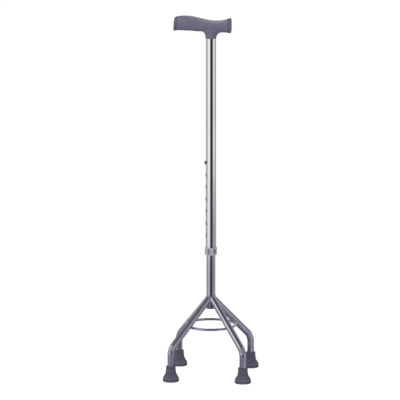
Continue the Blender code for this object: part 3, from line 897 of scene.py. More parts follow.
@cache
def weld_growth() -> Growth:
    """A weld bead along a closed line, with the small ripples that each drop of metal leaves.

    Returns:
        The tree.
    """
    g = Growth("weld_bead", line="Geometry", steps="Int", radius="Float", ripples="Float",
               ripple_share="Float", sides="Int")
    line = g.add("GeometryNodeMeshToCurve", {"Mesh": g.size("line")})["Curve"]
    even = g.add("GeometryNodeResampleCurve", {"Curve": line, "Count": g.size("steps")})["Curve"]
    turns = g.add("ShaderNodeMath", {0: g.size("ripples"), 1: math.tau}, operation="MULTIPLY")[0]
    along = g.add("ShaderNodeMath", {
        0: g.add("GeometryNodeSplineParameter")["Factor"], 1: turns,
    }, operation="MULTIPLY")[0]
    wave = g.add("ShaderNodeMath", {0: along}, operation="SINE")[0]
    return g.sweep(even, g.add("ShaderNodeMath", {0: wave, 1: g.size("ripple_share"), 2: 1.0},
                               operation="MULTIPLY_ADD")[0])


def true_normals(piece: Piece) -> Piece:
    """Let the large faces set the shading, so that eased edges don't bend reflections beside them.

    Args:
        piece: the piece.

    Returns:
        The same piece.
    """
    weigh = piece.modifiers.new("Weigh", "WEIGHTED_NORMAL")
    weigh.keep_sharp = True
    weigh.weight = FACE_PULL
    return settle(piece)


def dress(piece: Piece, finish: Finish, body: Body, *nodes: str) -> Piece:
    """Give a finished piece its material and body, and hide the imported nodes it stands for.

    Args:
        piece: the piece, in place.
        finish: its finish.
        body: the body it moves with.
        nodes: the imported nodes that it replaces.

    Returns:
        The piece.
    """
    true_normals(piece)
    piece.data.materials.clear()
    piece.data.materials.append(finish.material())
    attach(piece, body.value)
    if nodes:
        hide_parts(*nodes)
    log.info("%s: %d faces, %s, on %s, stands for %s", piece.name, len(piece.data.polygons),
             finish.name, body.value, ", ".join(nodes) or "no node")
    return piece


def refinish(packed: dict[str, Piece], finish: Finish, *nodes: str) -> None:
    """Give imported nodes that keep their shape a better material.

    Args:
        packed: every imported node's object, by name.
        finish: the new finish.
        nodes: the nodes that get it.
    """
    for node in nodes:
        for slot in packed[node].material_slots:
            slot.material = finish.material()
        log.info("%s: packed shape, %s", node, finish.name)


@dataclass
class HeightShaft:
    """The outer tube with its height holes and the inner tube that slides in it."""

    outer_radius: float = 11.1 * MM
    outer_bore: float = 9.9 * MM
    inner_bore: float = 8.3 * MM
    end_rounding: float = 0.35 * MM
    end_steps: int = 3
    rim_ease: float = 0.22 * MM
    hole_count: int = 7
    hole_pitch: float = 25.4 * MM
    hole_radius: float = 4.0 * MM
    screw_hole_radius: float = 2.05 * MM
    punch_reach: float = 33.3 * MM
    punch_sides: int = 48
    sides: int = 144

    def build_tube(self, name: str, node: str, radius: float, bore: float, finish: Finish, body: Body,
                   *rows: dict[str, Any]) -> None:
        """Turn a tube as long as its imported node, punch its holes, ease its edges and dress it.

        Args:
            name: the piece's name.
            node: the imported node.
            radius: the tube's outer radius.
            bore: its inner radius.
            finish: its finish.
            body: the body it moves with.
            rows: count, pitch, radius, top and bearing of each row of holes.
        """
        low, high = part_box(node)
        corners = [(radius, high.z), (radius, low.z), (bore, low.z), (bore, high.z)]
        outline = rounded([(*corner, self.end_rounding) for corner in corners], self.end_steps)
        tube = turned(name, outline, self.sides)
        for row in rows:
            combine(tube, punch_row_growth().grow(
                f"{name}_punches", finish, reach=self.punch_reach, sides=self.punch_sides, **row
            ))
        dress(ease_edges(tube, self.rim_ease), finish, body, node)

    def build(self) -> None:
        """Build both tubes."""
        button_hole = {"count": 1, "pitch": self.hole_pitch, "radius": self.hole_radius,
                       "top": BUTTON_HEIGHT, "bearing": math.radians(BUTTON_BEARING)}
        height_holes = {**button_hole, "count": self.hole_count}
        screw_hole = {**button_hole, "radius": self.screw_hole_radius, "top": SCREW_HEIGHT,
                      "bearing": math.radians(SCREW_BEARING)}
        self.build_tube("outer_shaft_tube", "upper_tube", self.outer_radius, self.outer_bore,
                        SHAFT_CHROME, Body.UPPER_SHAFT, height_holes, screw_hole)
        self.build_tube("inner_shaft_tube", "lower_tube", STEM_RADIUS, self.inner_bore,
                        LEG_CHROME, Body.BASE, button_hole)


@dataclass
class PushButton:
    """The domed button that locks the height, and the folded strip that pushes it out."""

    radius: float = 3.6 * MM
    tip: float = 14.7 * MM
    dome_rise: float = 2.6 * MM
    dome_steps: int = 12
    fillet: float = 0.3 * MM
    flange_radius: float = 4.6 * MM
    flange_front: float = 6.609 * MM
    flange_back: float = 5.409 * MM
    flange_ease: float = 0.2 * MM
    sides: int = 48
    strip_width: float = 6.0 * MM
    strip_thickness: float = 0.6 * MM
    strip_length: float = 46.0 * MM
    strip_ease: float = 0.12 * MM
    near_leaf: float = 4.809 * MM
    far_leaf: float = -7.139 * MM
    fold_steps: int = 24
    squash_keep: float = 0.592

    def build(self) -> None:
        """Build the button and its spring."""
        front, back, ease = self.flange_front, self.flange_back, self.flange_ease
        outline = dome(self.radius, self.tip - self.dome_rise, self.dome_rise, self.dome_steps) + [
            (self.radius, front + self.fillet),
            (self.radius + self.fillet, front),
            (self.flange_radius - ease, front),
            (self.flange_radius, front - ease),
            (self.flange_radius, back + ease),
            (self.flange_radius - ease, back),
            (0.0, back),
        ]
        button = turned("height_button", outline, self.sides, out_from_shaft(BUTTON_BEARING, BUTTON_HEIGHT))
        dress(button, BUTTON_STEEL, Body.BUTTON, "snap_button")
        self.build_strip()

    def build_strip(self) -> None:
        """Fold the spring's strip: one leaf on the button, the other on the tube's far wall."""
        # The fold is half as wide as the leaves are apart on the button, so the near leaf leans in
        radius = (self.near_leaf - self.far_leaf) / 4
        fold = self.radius - self.strip_length + radius
        path = [Vector((self.near_leaf, self.radius)), Vector((self.near_leaf, -self.radius))]
        for step in range(self.fold_steps + 1):
            angle = -math.pi * step / self.fold_steps
            path.append(Vector((self.far_leaf + radius * (1 + math.cos(angle)),
                                fold + radius * math.sin(angle))))
        path.append(Vector((self.far_leaf, self.radius)))
        half = self.strip_width / 2
        sections = []
        for i, point in enumerate(path):
            along = (path[min(i + 1, len(path) - 1)] - path[max(i - 1, 0)]).normalized()
            side = Vector((-along.y, along.x)) * self.strip_thickness / 2
            sections.append([
                Vector((p.x, y, p.y))
                for p, y in ((point + side, half), (point + side, -half),
                             (point - side, -half), (point - side, half))
            ])
        turn = turn_to(BUTTON_BEARING)
        strip = loft("spring_strip", sections, Matrix.Translation((0, 0, BUTTON_HEIGHT)) @ turn)
        dress(ease_edges(strip, self.strip_ease), SPRING_STEEL, Body.BASE, "button_spring")
        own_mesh(strip)


@dataclass
class LockRing:
    """The scalloped ring that squeezes the split collet on the inner tube."""

    bore: float = 11.4 * MM
    floor: float = 1.8 * MM
    floor_bore: float = 10.2 * MM
    collet_taper: float = 0.5 * MM
    collet_top: float = 261.8 * MM
    top_ease: float = 0.9 * MM
    base_ease: float = 1.35 * MM
    floor_ease: float = 0.3 * MM
    inner_ease: float = 0.1 * MM
    bore_ease: float = 0.25 * MM
    scallop_count: int = 6
    scallop_depth: float = 0.6 * MM
    scallop_from_end: float = 0.9 * MM
    first_bearing: float = 15.0
    sides: int = 144
    roller_sides: int = 360
    edge_ease: float = 0.35 * MM
    edge_steps: int = 3
    # The scallops meet the ring's side at a slight angle
    edge_angle: float = 14.0

    def build(self) -> None:
        """Turn the ring, cut its scallops and dress it."""
        low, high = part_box("lock_ring")
        base, top = low.z, high.z
        ring = turned("collet_lock_ring", rounded([
            (LOCK_RING_RADIUS, top, self.top_ease),
            (LOCK_RING_RADIUS, base, self.base_ease),
            (self.floor_bore, base, self.floor_ease),
            (self.floor_bore, base + self.floor, self.inner_ease),
            (self.bore - self.collet_taper, base + self.floor, self.inner_ease),
            (self.bore, self.collet_top, self.inner_ease),
            (self.bore, top, self.bore_ease),
        ]), self.sides)
        combine(ring, self.rollers(base, top))
        dress(ease_edges(ring, self.edge_ease, self.edge_steps, self.edge_angle),
              COLLAR_PLASTIC, Body.LOCK, "lock_ring")

    def rollers(self, base: float, top: float) -> Piece:
        """The level rollers whose sides hollow out the scallops.

        Args:
            base: height of the ring's lower end.
            top: height of its upper end.

        Returns:
            The rollers, as one cutter.
        """
        half = (top - base) / 2 - self.scallop_from_end
        radius = (half**2 + self.scallop_depth**2) / (2 * self.scallop_depth)
        axis = (LOCK_RING_RADIUS + radius - self.scallop_depth, 0, (base + top) / 2)
        place = (turn_to(self.first_bearing) @ Matrix.Translation(axis)
                 @ Matrix.Rotation(math.pi / 2, 4, "X"))
        width = LOCK_RING_RADIUS
        roller = turned("scallop_roller", [(0, width), (radius, width), (radius, -width), (0, -width)],
                        self.roller_sides, place)
        return round_growth().grow("scallop_rollers", COLLAR_PLASTIC, roller, count=self.scallop_count)


@dataclass
class WeldedBase:
    """Four bent legs welded to the inner tube, and the rod ring that ties them."""

    junction: float = 165.0 * MM
    corner: float = 66.5 * MM
    bend_radius: float = 26.0 * MM
    bend_steps: int = 28
    leg_radius: float = 7.0 * MM
    leg_end: float = 9.8 * MM
    leg_start: float = 4.0 * MM
    leg_sides: int = 72
    ring_height: float = 104.6 * MM
    rod_radius: float = 2.5 * MM
    rod_sides: int = 32
    ring_sides: int = 192
    seat_gap: float = 0.3 * MM
    bead_radius: float = 1.25 * MM
    bead_sides: int = 14
    bead_line_steps: int = 96
    bead_steps: int = 160
    ripples: float = 26.0
    ripple_share: float = 0.09
    drop_sizes: tuple[float, float, float] = (2.0 * MM, 4.4 * MM, 2.8 * MM)
    drop_subdivisions: int = 4
    drop_lumps: float = 0.07
    # How fast the lumps follow one another along x, y and z
    lump_waves: tuple[float, float, float] = (2.0, 7.0, 5.0)
    weld_crease: float = 60.0
    plug_shank: float = 8.0 * MM
    plug_shank_ease: float = 0.6 * MM
    plug_flange: float = 1.5 * MM
    plug_flange_ease: float = 0.9 * MM
    plug_inner_ease: float = 0.1 * MM
    plug_dimple_radius: float = 2.0 * MM
    plug_dimple_depth: float = 0.35 * MM
    plug_dimple_slope: float = 0.4 * MM
    plug_dimple_ease: float = 0.2 * MM
    tilt: float = field(init=False)
    ring_radius: float = field(init=False)

    def __post_init__(self) -> None:
        """Work out how far the legs lean from upright, and the ring that lies against them."""
        self.tilt = math.atan2(FOOT_REACH, self.junction - self.corner)
        apart = self.leg_radius + self.rod_radius + self.seat_gap
        below = (self.junction - self.ring_height) * math.sin(self.tilt)
        self.ring_radius = (below - apart) / math.cos(self.tilt)

    def build(self) -> None:
        """Build the legs, the ring, their welds and the stem's plug."""
        self.build_legs()
        self.build_leg_welds()
        self.build_ring()
        self.build_ring_welds()
        self.build_stem_plug()

    def build_legs(self) -> None:
        """Bend a tube along each leg's line."""
        start_height = self.junction - self.leg_start / math.tan(self.tilt)
        bends = ((self.leg_start, start_height), (FOOT_REACH, self.corner), (FOOT_REACH, self.leg_end))
        for corner, bearing in CORNERS.items():
            line = wire(f"{corner}_line", [around_shaft(bearing, *bend) for bend in bends], [(0, 1), (1, 2)])
            leg = bent_tube_growth().grow(
                f"{corner}_leg_tube", LEG_CHROME, line, bend_radius=self.bend_radius,
                bend_steps=self.bend_steps, radius=self.leg_radius, sides=self.leg_sides,
            )
            dress(smooth(leg), LEG_CHROME, Body.BASE, f"{corner}_leg")

    def build_leg_welds(self) -> None:
        """Run a bead round each leg where it meets the inner tube."""
        steps = self.bead_line_steps
        points, edges = [], []
        for bearing in CORNERS.values():
            turn = turn_to(bearing)
            first = len(points)
            for step in range(steps):
                angle = math.tau * step / steps
                side = self.leg_radius * math.sin(angle)
                lift = self.leg_radius * math.cos(angle)
                reach = math.sqrt(STEM_RADIUS**2 - side**2)
                along = (reach - lift * math.cos(self.tilt)) / math.sin(self.tilt)
                height = self.junction - along * math.cos(self.tilt) + lift * math.sin(self.tilt)
                points.append(turn @ Vector((reach, side, height)))
                edges.append((first + step, first + (step + 1) % steps))
        bead = weld_growth().grow(
            "leg_weld_beads", LEG_CHROME, wire("leg_weld_lines", points, edges), steps=self.bead_steps,
            radius=self.bead_radius, ripples=self.ripples, ripple_share=self.ripple_share,
            sides=self.bead_sides,
        )
        dress(smooth(bead, self.weld_crease), LEG_CHROME, Body.BASE)

    def build_ring(self) -> None:
        """Turn the rod ring."""
        angles = (math.tau * i / self.rod_sides for i in range(self.rod_sides))
        rod = [(self.ring_radius + self.rod_radius * math.cos(a),
                self.ring_height + self.rod_radius * math.sin(a)) for a in angles]
        dress(turned("tie_ring_rod", rod, self.ring_sides), LEG_CHROME, Body.BASE, "leg_tie_ring")

    def build_ring_welds(self) -> None:
        """Put a small lumpy weld where each leg touches the ring."""
        lean = Vector((math.cos(self.tilt), 0, math.sin(self.tilt)))
        touch = Vector((self.ring_radius, 0, self.ring_height)) + lean * self.rod_radius
        along_x, along_y, along_z = self.lump_waves
        bm = bmesh.new()
        bmesh.ops.create_icosphere(bm, subdivisions=self.drop_subdivisions, radius=1.0)
        for vert in bm.verts:
            phase = along_y * vert.co.y + along_x * vert.co.x
            vert.co *= 1 + self.drop_lumps * math.sin(phase) * math.cos(along_z * vert.co.z)
        leaning = (Matrix.Translation(touch) @ Matrix.Rotation(-self.tilt, 4, "Y")
                   @ Matrix.Diagonal((*self.drop_sizes, 1.0)))
        drop = from_bmesh("ring_weld", bm, turn_to(CORNERS["rear_right"]) @ leaning)
        welds = round_growth().grow("ring_welds", LEG_CHROME, drop, count=len(CORNERS))
        dress(smooth(welds, self.weld_crease), LEG_CHROME, Body.BASE)

    def build_stem_plug(self) -> None:
        """Turn the plug that closes the inner tube's lower end, with the dimple of its mould."""
        low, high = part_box("stem_plug")
        seat = low.z + self.plug_flange
        dimple = low.z + self.plug_dimple_depth
        plug = turned("stem_end_plug", rounded([
            (0.0, high.z, 0.0),
            (self.plug_shank, high.z, self.plug_shank_ease),
            (self.plug_shank, seat, self.plug_inner_ease),
            (STEM_RADIUS, seat, self.plug_inner_ease),
            (STEM_RADIUS, low.z, self.plug_flange_ease),
            (self.plug_dimple_radius, low.z, self.plug_dimple_ease),
            (self.plug_dimple_radius - self.plug_dimple_slope, dimple, self.plug_inner_ease),
            (0.0, dimple, 0.0),
        ]))
        dress(plug, DARK_PLUG, Body.BASE, "stem_plug")


@dataclass
class RubberTips:
    """The four bell-shaped rubber tips under the legs."""

    height: float = 32.0 * MM
    socket: float = 7.3 * MM
    socket_floor: float = 8.0 * MM
    socket_ease: float = 0.4 * MM
    mouth: float = 10.0 * MM
    mouth_swell: float = 0.05 * MM
    mouth_height: float = 3.0 * MM
    mouth_recess: float = 0.25 * MM
    mouth_undercut: float = 0.6 * MM
    # Roundings of the mouth, from its inner edge over the top to the undercut
    mouth_inner_ease: float = 0.5 * MM
    mouth_outer_ease: float = 1.1 * MM
    mouth_rim_ease: float = 0.4 * MM
    mouth_recess_ease: float = 0.3 * MM
    sleeve: float = 10.8 * MM
    flare_top: float = 19.0 * MM
    flare_steps: int = 26
    base: float = 16.7 * MM
    base_thickness: float = 6.5 * MM
    ledge_width: float = 0.35 * MM
    ledge_drop: float = 0.2 * MM
    ledge_ease: float = 0.3 * MM
    base_ease: float = 1.2 * MM
    groove_outside: float = 13.0 * MM
    groove_inside: float = 10.6 * MM
    groove_depth: float = 1.2 * MM
    hollow_radius: float = 5.6 * MM
    hollow_depth: float = 0.9 * MM
    hollow_ease: float = 0.3 * MM
    underside_ease: float = 0.2 * MM
    # How far the groove's and the hollow's walls lean
    slope: float = 0.6 * MM
    underside_steps: int = 4
    tread_slots: int = 20
    slot_reach: float = 15.6 * MM
    slot_sizes: tuple[float, float, float] = (4.0 * MM, 1.1 * MM, 1.8 * MM)
    crease: float = 38.0

    def outline(self) -> Outline:
        """The tip's section: socket, rolled mouth, sleeve, flare, base and grooved underside.

        Returns:
            The section's points, from the socket's floor to the underside's middle.
        """
        points = [(0.0, self.socket_floor), (self.socket - self.socket_ease, self.socket_floor),
                  (self.socket, self.socket_floor + self.socket_ease)]
        rim = self.height - self.mouth_height
        points += rounded([
            (self.socket, self.height, self.mouth_inner_ease),
            (self.mouth, self.height, self.mouth_outer_ease),
            (self.mouth + self.mouth_swell, rim, self.mouth_rim_ease),
            (self.mouth - self.mouth_recess, rim - self.mouth_undercut, self.mouth_recess_ease),
        ])[:-1]
        flare_end = self.base - self.ledge_width
        for step in range(self.flare_steps + 1):
            drop = step / self.flare_steps
            ease = drop * drop * (3 - 2 * drop)
            points.append((self.sleeve + (flare_end - self.sleeve) * ease,
                           self.flare_top + (self.base_thickness - self.flare_top) * drop))
        return points + rounded([
            (self.base, self.base_thickness - self.ledge_drop, self.ledge_ease),
            (self.base, 0.0, self.base_ease),
            (self.groove_outside, 0.0, self.underside_ease),
            (self.groove_outside - self.slope, self.groove_depth, self.underside_ease),
            (self.groove_inside + self.slope, self.groove_depth, self.underside_ease),
            (self.groove_inside, 0.0, self.underside_ease),
            (self.hollow_radius, 0.0, self.underside_ease),
            (self.hollow_radius - self.slope, self.hollow_depth, self.hollow_ease),
            (0.0, self.hollow_depth, 0.0),
        ], self.underside_steps)

    def build(self) -> None:
        """Turn one tip, cut its tread and set it under each leg."""
        tip = turned("tip_pattern", self.outline())
        slot = block("tread_slot", self.slot_sizes, Matrix.Translation((self.slot_reach, 0, 0)))
        combine(tip, round_growth().grow("tread_slots", RUBBER, slot, count=self.tread_slots))
        for corner, bearing in CORNERS.items():
            mesh = tip.data.copy()
            mesh.transform(Matrix.Translation(around_shaft(bearing, FOOT_REACH, 0)))
            piece = smooth(new_object(f"{corner}_rubber_tip", mesh), self.crease)
            dress(piece, RUBBER, Body.BASE, f"{corner}_tip")
        bpy.data.objects.remove(tip, do_unlink=True)


@dataclass
class Handle:
    """The moulded T handle: grip, neck and spigot, and two end caps. Sizes without MM are in mm."""

    # x and z of the crest, x and z of the underside, half the width; from the neck's end
    stations: tuple[tuple[float, ...], ...] = (
        (-75.0, 42.0, -76.9, 13.4, 14.3), (-70.5, 42.9, -72.5, 14.0, 14.1),
        (-64.0, 44.4, -66.0, 15.0, 13.6), (-50.0, 45.1, -52.0, 14.6, 14.2),
        (-38.9, 44.0, -41.0, 14.5, 14.6), (-26.0, 41.6, -27.5, 13.5, 14.6),
        (-12.0, 38.5, -13.0, 13.6, 14.3), (2.5, 36.3, 2.0, 13.2, 13.9),
        (15.0, 36.3, 14.5, 12.4, 13.4), (26.0, 37.6, 25.2, 12.1, 12.9),
        (33.5, 39.9, 32.8, 11.8, 13.2), (38.4, 41.6, 38.0, 10.9, 14.0),
        (41.9, 41.8, 41.9, 10.3, 14.2),
    )
    steps_between: int = 14
    roundness: float = 2.6
    sides: int = 96
    palm_cap_at: float = -69.6
    nose_cap_at: float = 37.2
    end_rounding: float = 2.4
    parting_rounding: float = 0.4
    rounding_steps: int = 7
    neck_end: float = 707.0 * MM
    neck_radius: float = 11.4
    # How far the neck's skin runs below its end, before it is cut there
    neck_spare: float = 4.0
    neck_straight: float = 0.8
    neck_flare: float = 13.0
    # How far the neck's skin runs on into the grip
    neck_root: float = 9.0
    flare_turn: float = 80.0
    flare_steps: int = 24
    flare_to_nose: float = 19.0
    flare_to_palm: float = 9.0
    flare_sideways: float = 2.0
    spigot_radius: float = 9.6 * MM
    spigot_length: float = 35.0 * MM
    spigot_root: float = 1.0 * MM
    spigot_rounding: float = 0.8 * MM
    voxel: float = 0.7 * MM
    soften_rounds: int = 8
    crease: float = 40.0
    # How far below the crest the painted highlight reaches, and how softly it fades in, in mm
    crest_highlight_depth: float = 4.4
    crest_highlight_fade: float = 3.4
    # Where the painted crest highlight starts and is full from the palm's side, and from the nose's
    crest_highlight_from_palm: tuple[float, float] = (-56.0, -8.0)
    crest_highlight_from_nose: tuple[float, float] = (36.0, 26.0)

    def line(self) -> list[list[float]]:
        """Draw a smooth curve through the stations.

        Returns:
            A close run of stations.
        """
        last = len(self.stations) - 1
        run = []
        for i in range(last):
            four = [self.stations[min(max(i + k, 0), last)] for k in (-1, 0, 1, 2)]
            for step in range(self.steps_between):
                t = step / self.steps_between
                run.append([
                    b + 0.5 * t * (c - a + t * (2 * a - 5 * b + 4 * c - d + t * (3 * (b - c) + d - a)))
                    for a, b, c, d in zip(*four)
                ])
        run.append(list(self.stations[last]))
        return run

    def section(self, station: Sequence[float], inset: float = 0.0, shift: float = 0.0) -> list[Vector]:
        """One section of the grip, a squared ellipse in the leaning plane of its station.

        Args:
            station: crest x and z, underside x and z, half width.
            inset: how far the section is drawn in, in mm.
            shift: how far it is moved along the grip, in mm.

        Returns:
            The section's points in metres.
        """
        crest_x, crest_z, under_x, under_z, half_width = station
        centre = Vector(((crest_x + under_x) / 2, 0, (crest_z + under_z) / 2))
        up = Vector(((crest_x - under_x) / 2, 0, (crest_z - under_z) / 2))
        up *= 1 - inset / up.length
        points = []
        for i in range(self.sides):
            angle = math.tau * i / self.sides
            high, wide = (
                math.copysign(abs(wave) ** (2 / self.roundness), wave)
                for wave in (math.sin(angle), math.cos(angle))
            )
            point = centre + up * high + Vector((shift, (half_width - inset) * wide, 0))
            points.append(point * MM + Vector((0, 0, self.neck_end)))
        return points

    def rounded_end(self, station: Sequence[float], rounding: float, end: End) -> list[list[Vector]]:
        """The sections that round off one end of a stretch of grip.

        Args:
            station: the end's station.
            rounding: radius of the rounding in mm.
            end: which end it is.

        Returns:
            Sections from the end inwards.
        """
        angles = (math.pi / 2 * step / self.rounding_steps for step in range(self.rounding_steps))
        return [
            self.section(station, rounding * (1 - math.sin(angle)),
                         -end.value * rounding * (1 - math.cos(angle)))
            for angle in angles
        ]

    def stretch(self, name: str, low: float, high: float, palm_rounding: float,
                nose_rounding: float) -> Piece:
        """Loft the stretch of grip between two places along it, with rounded ends.

        Args:
            name: the piece's name.
            low: where it starts, as the crest's x in mm.
            high: where it ends.
            palm_rounding: rounding of the end towards the palm, in mm.
            nose_rounding: rounding of the end towards the nose, in mm.

        Returns:
            The closed stretch.
        """
        run = [s for s in self.line() if low <= s[0] <= high]
        inner = [s for s in run[1:-1]
                 if run[0][0] + palm_rounding < s[0] < run[-1][0] - nose_rounding]
        sections = self.rounded_end(run[0], palm_rounding, End.PALM)
        sections += [self.section(s) for s in inner]
        sections += self.rounded_end(run[-1], nose_rounding, End.NOSE)[::-1]
        return loft(name, sections)

    def neck(self) -> Piece:
        """Loft the neck, which flares along the grip and runs up into it.

        Returns:
            The neck's closed skin.
        """
        levels = [(-self.neck_spare, 0.0), (0.0, 0.0), (self.neck_straight, 0.0)]
        for step in range(1, self.flare_steps + 1):
            angle = math.radians(self.flare_turn) * step / self.flare_steps
            levels.append((self.neck_straight + self.neck_flare * math.sin(angle), 1 - math.cos(angle)))
        levels.append((levels[-1][0] + self.neck_root, levels[-1][1]))
        sections = []
        for height, flare in levels:
            section = []
            for i in range(self.sides):
                angle = math.tau * i / self.sides
                sine, cosine = math.sin(angle), math.cos(angle)
                reach = self.flare_to_nose if cosine > 0 else self.flare_to_palm
                section.append(Vector(((self.neck_radius + reach * flare) * cosine * MM,
                                       (self.neck_radius + self.flare_sideways * flare) * sine * MM,
                                       self.neck_end + height * MM)))
            sections.append(section)
        return loft("handle_neck_skin", sections)

    def blended(self, grip: Piece, neck: Piece) -> Piece:
        """Melt the neck into the grip, as one moulding, and cut its lower end flat.

        Args:
            grip: the grip's main stretch.
            neck: the neck, which runs past its lower end.

        Returns:
            The blended body.
        """
        combine(grip, neck, Joining.MELT)
        remesh = grip.modifiers.new("Melt", "REMESH")
        remesh.mode = "VOXEL"
        remesh.voxel_size = self.voxel
        soften = grip.modifiers.new("Soften", "SMOOTH")
        soften.iterations = self.soften_rounds
        settle(grip)
        bm = bmesh.new()
        bm.from_mesh(grip.data)
        cut = bmesh.ops.bisect_plane(
            bm, geom=bm.verts[:] + bm.edges[:] + bm.faces[:], dist=TOUCHING,
            plane_co=(0, 0, self.neck_end), plane_no=(0, 0, 1), clear_inner=True,
        )
        rim = [e for e in cut["geom_cut"] if isinstance(e, bmesh.types.BMEdge)]
        bmesh.ops.holes_fill(bm, edges=rim, sides=0)
        bm.to_mesh(grip.data)
        bm.free()
        return grip

    def spigot(self) -> Piece:
        """Turn the spigot that the neck stands on, inside the outer tube.

        Returns:
            The spigot, which reaches a little way up into the neck.
        """
        top = self.neck_end + self.spigot_root
        bottom = self.neck_end - self.spigot_length
        return turned("spigot", rounded([
            (0.0, top, 0.0), (self.spigot_radius, top, 0.0),
            (self.spigot_radius, bottom, self.spigot_rounding), (0.0, bottom, 0.0),
        ]))

    def paint_crest_highlight(self, grip: Piece) -> None:
        """Store on each point how much pale painted highlight it gets: along the crest, most in the saddle.

        Args:
            grip: the handle's body.
        """
        line = self.line()
        places = [station[0] for station in line]
        shares = []
        for vertex in grip.data.vertices:
            x, height = vertex.co.x / MM, (vertex.co.z - self.neck_end) / MM
            start = line[min(bisect(places, x), len(line) - 1)][1] - self.crest_highlight_depth
            shares.append(progress(height, start, start + self.crest_highlight_fade)
                          * progress(x, *self.crest_highlight_from_palm) * progress(x, *self.crest_highlight_from_nose))
        # The share of pale painted highlight on each point, for the grip's material
        grip.data.attributes.new("painted_crest_highlight", "FLOAT", "POINT").data.foreach_set("value", shares)

    def build(self) -> None:
        """Build the handle's body and its caps and dress them."""
        parting = self.parting_rounding
        grip = self.stretch("grip_and_neck", self.palm_cap_at, self.nose_cap_at, parting, parting)
        self.blended(grip, self.neck())
        combine(grip, self.spigot(), Joining.MELT)
        # Painted highlight along the crest, stored on the points
        self.paint_crest_highlight(grip)
        dress(smooth(grip, self.crease), GRIP_PLASTIC, Body.UPPER_SHAFT, "handle")
        palm = self.stretch("palm_end_cap", -math.inf, self.palm_cap_at, self.end_rounding, parting)
        nose = self.stretch("nose_end_cap", self.nose_cap_at, math.inf, parting, self.end_rounding)
        # The caps' darker colour is painted shade on the rounded ends
        for cap in (palm, nose):
            dress(cap, SHADED_CAP_PLASTIC, Body.UPPER_SHAFT)


@dataclass
class HandleScrew:
    """The pan-head screw that holds the handle's spigot, from behind."""

    seat: float = 11.4 * MM
    head_radius: float = 3.5 * MM
    head_height: float = 2.2 * MM
    crown: float = 1.43 * MM
    crown_steps: int = 10
    head_ease: float = 0.1 * MM
    shank_radius: float = 1.75 * MM
    point: float = 2.6 * MM
    sides: int = 48
    slot_length: float = 3.9 * MM
    slot_width: float = 1.1 * MM
    slot_depth: float = 1.1 * MM
    edge_ease: float = 0.08 * MM

    def build(self) -> None:
        """Turn the screw, cut its cross and dress it."""
        place = out_from_shaft(SCREW_BEARING, SCREW_HEIGHT)
        top = self.seat + self.head_height
        outline = dome(self.head_radius, top - self.crown, self.crown, self.crown_steps) + [
            (self.head_radius, self.seat + self.head_ease),
            (self.head_radius - self.head_ease, self.seat),
            (self.shank_radius, self.seat),
            (self.shank_radius, self.point + self.shank_radius),
            (0.0, self.point),
        ]
        screw = turned("handle_pan_screw", outline, self.sides, place)
        bar = (self.slot_length, self.slot_width, 2 * self.slot_depth)
        for bearing in (0.0, 90.0):
            combine(screw, block("cross_bar", bar,
                                 place @ Matrix.Translation((0, 0, top)) @ turn_to(bearing)))
        dress(ease_edges(screw, self.edge_ease), ZINC_STEEL, Body.UPPER_SHAFT, "handle_screw")


# Bands of light by direction, in degrees to the camera's right, from behind round to behind
FAR_BANDS = (
    (-180.0, "#f4f4f5"), (-164.0, "#e4e4e5"), (-125.0, "#c2c2c3"), (-68.0, "#ffffff"),
    (-15.0, "#303034"), (40.0, "#e6e5e9"), (100.0, "#9d9ca1"), (135.0, "#ececed"),
    (165.0, "#f4f4f5"),
)
HALFWAY_BANDS = (
    (-180.0, "#303033"), (-164.0, "#e4e4e5"), (-125.0, "#b4b4b7"), (-90.0, "#d0cfd4"),
    (-68.0, "#ffffff"), (-38.0, "#f2f1f7"), (-15.0, "#3d3b47"), (38.0, "#a6a5aa"),
    (135.0, "#d8d8da"), (165.0, "#303033"),
)
MIDDLE_BANDS = (
    (-180.0, "#303033"), (-164.0, "#e0e0e2"), (-125.0, "#a09fa8"), (-70.0, "#dedde9"),
    (-44.0, "#a5a3b6"), (-16.0, "#3b384c"), (34.0, "#9997a5"), (90.0, "#a9a7b2"),
    (135.0, "#cfcfd3"), (165.0, "#303033"),
)
NEAR_BANDS = (
    (-180.0, "#55535e"), (-160.0, "#c0bfc6"), (-120.0, "#8f8d9d"), (-66.0, "#8d8b9c"),
    (-14.0, "#838193"), (30.0, "#a3a1b2"), (92.0, "#767485"), (130.0, "#b0aeb8"),
    (165.0, "#55535e"),
)
UNDER_BANDS = (
    (-180.0, "#565468"), (-10.0, "#656375"), (35.0, "#82808f"), (110.0, "#656375"),
    (165.0, "#565468"),
)
# What mirrors see further out on the floor: where each ring starts and is full, in metres
FLOOR_RINGS = (
    (0.11, 0.16, NEAR_BANDS), (0.26, 0.62, MIDDLE_BANDS), (1.05, 1.35, HALFWAY_BANDS),
    (1.45, 2.3, FAR_BANDS),
)
SKY_COLOUR = "#918f9b"
# Direction, full to this many degrees, gone at this many, colour
SKY_PATCHES = (
    ((0.08, -0.31, 0.95), 15.0, 34.0, "#504e5a"),
    ((-0.757, -0.437, 0.485), 10.0, 27.0, "#f6f6fa"),
    ((-0.3, 0.8, 0.5), 14.0, 26.0, "#44434b"),
    ((0.6, 0.6, 0.5), 10.0, 24.0, "#9c9ba5"),
    ((-0.11, 0.99, 0.15), 9.0, 20.0, "#ffffff"),
    ((0.956, 0.281, 0.087), 5.0, 14.0, "#6b6974"),
)


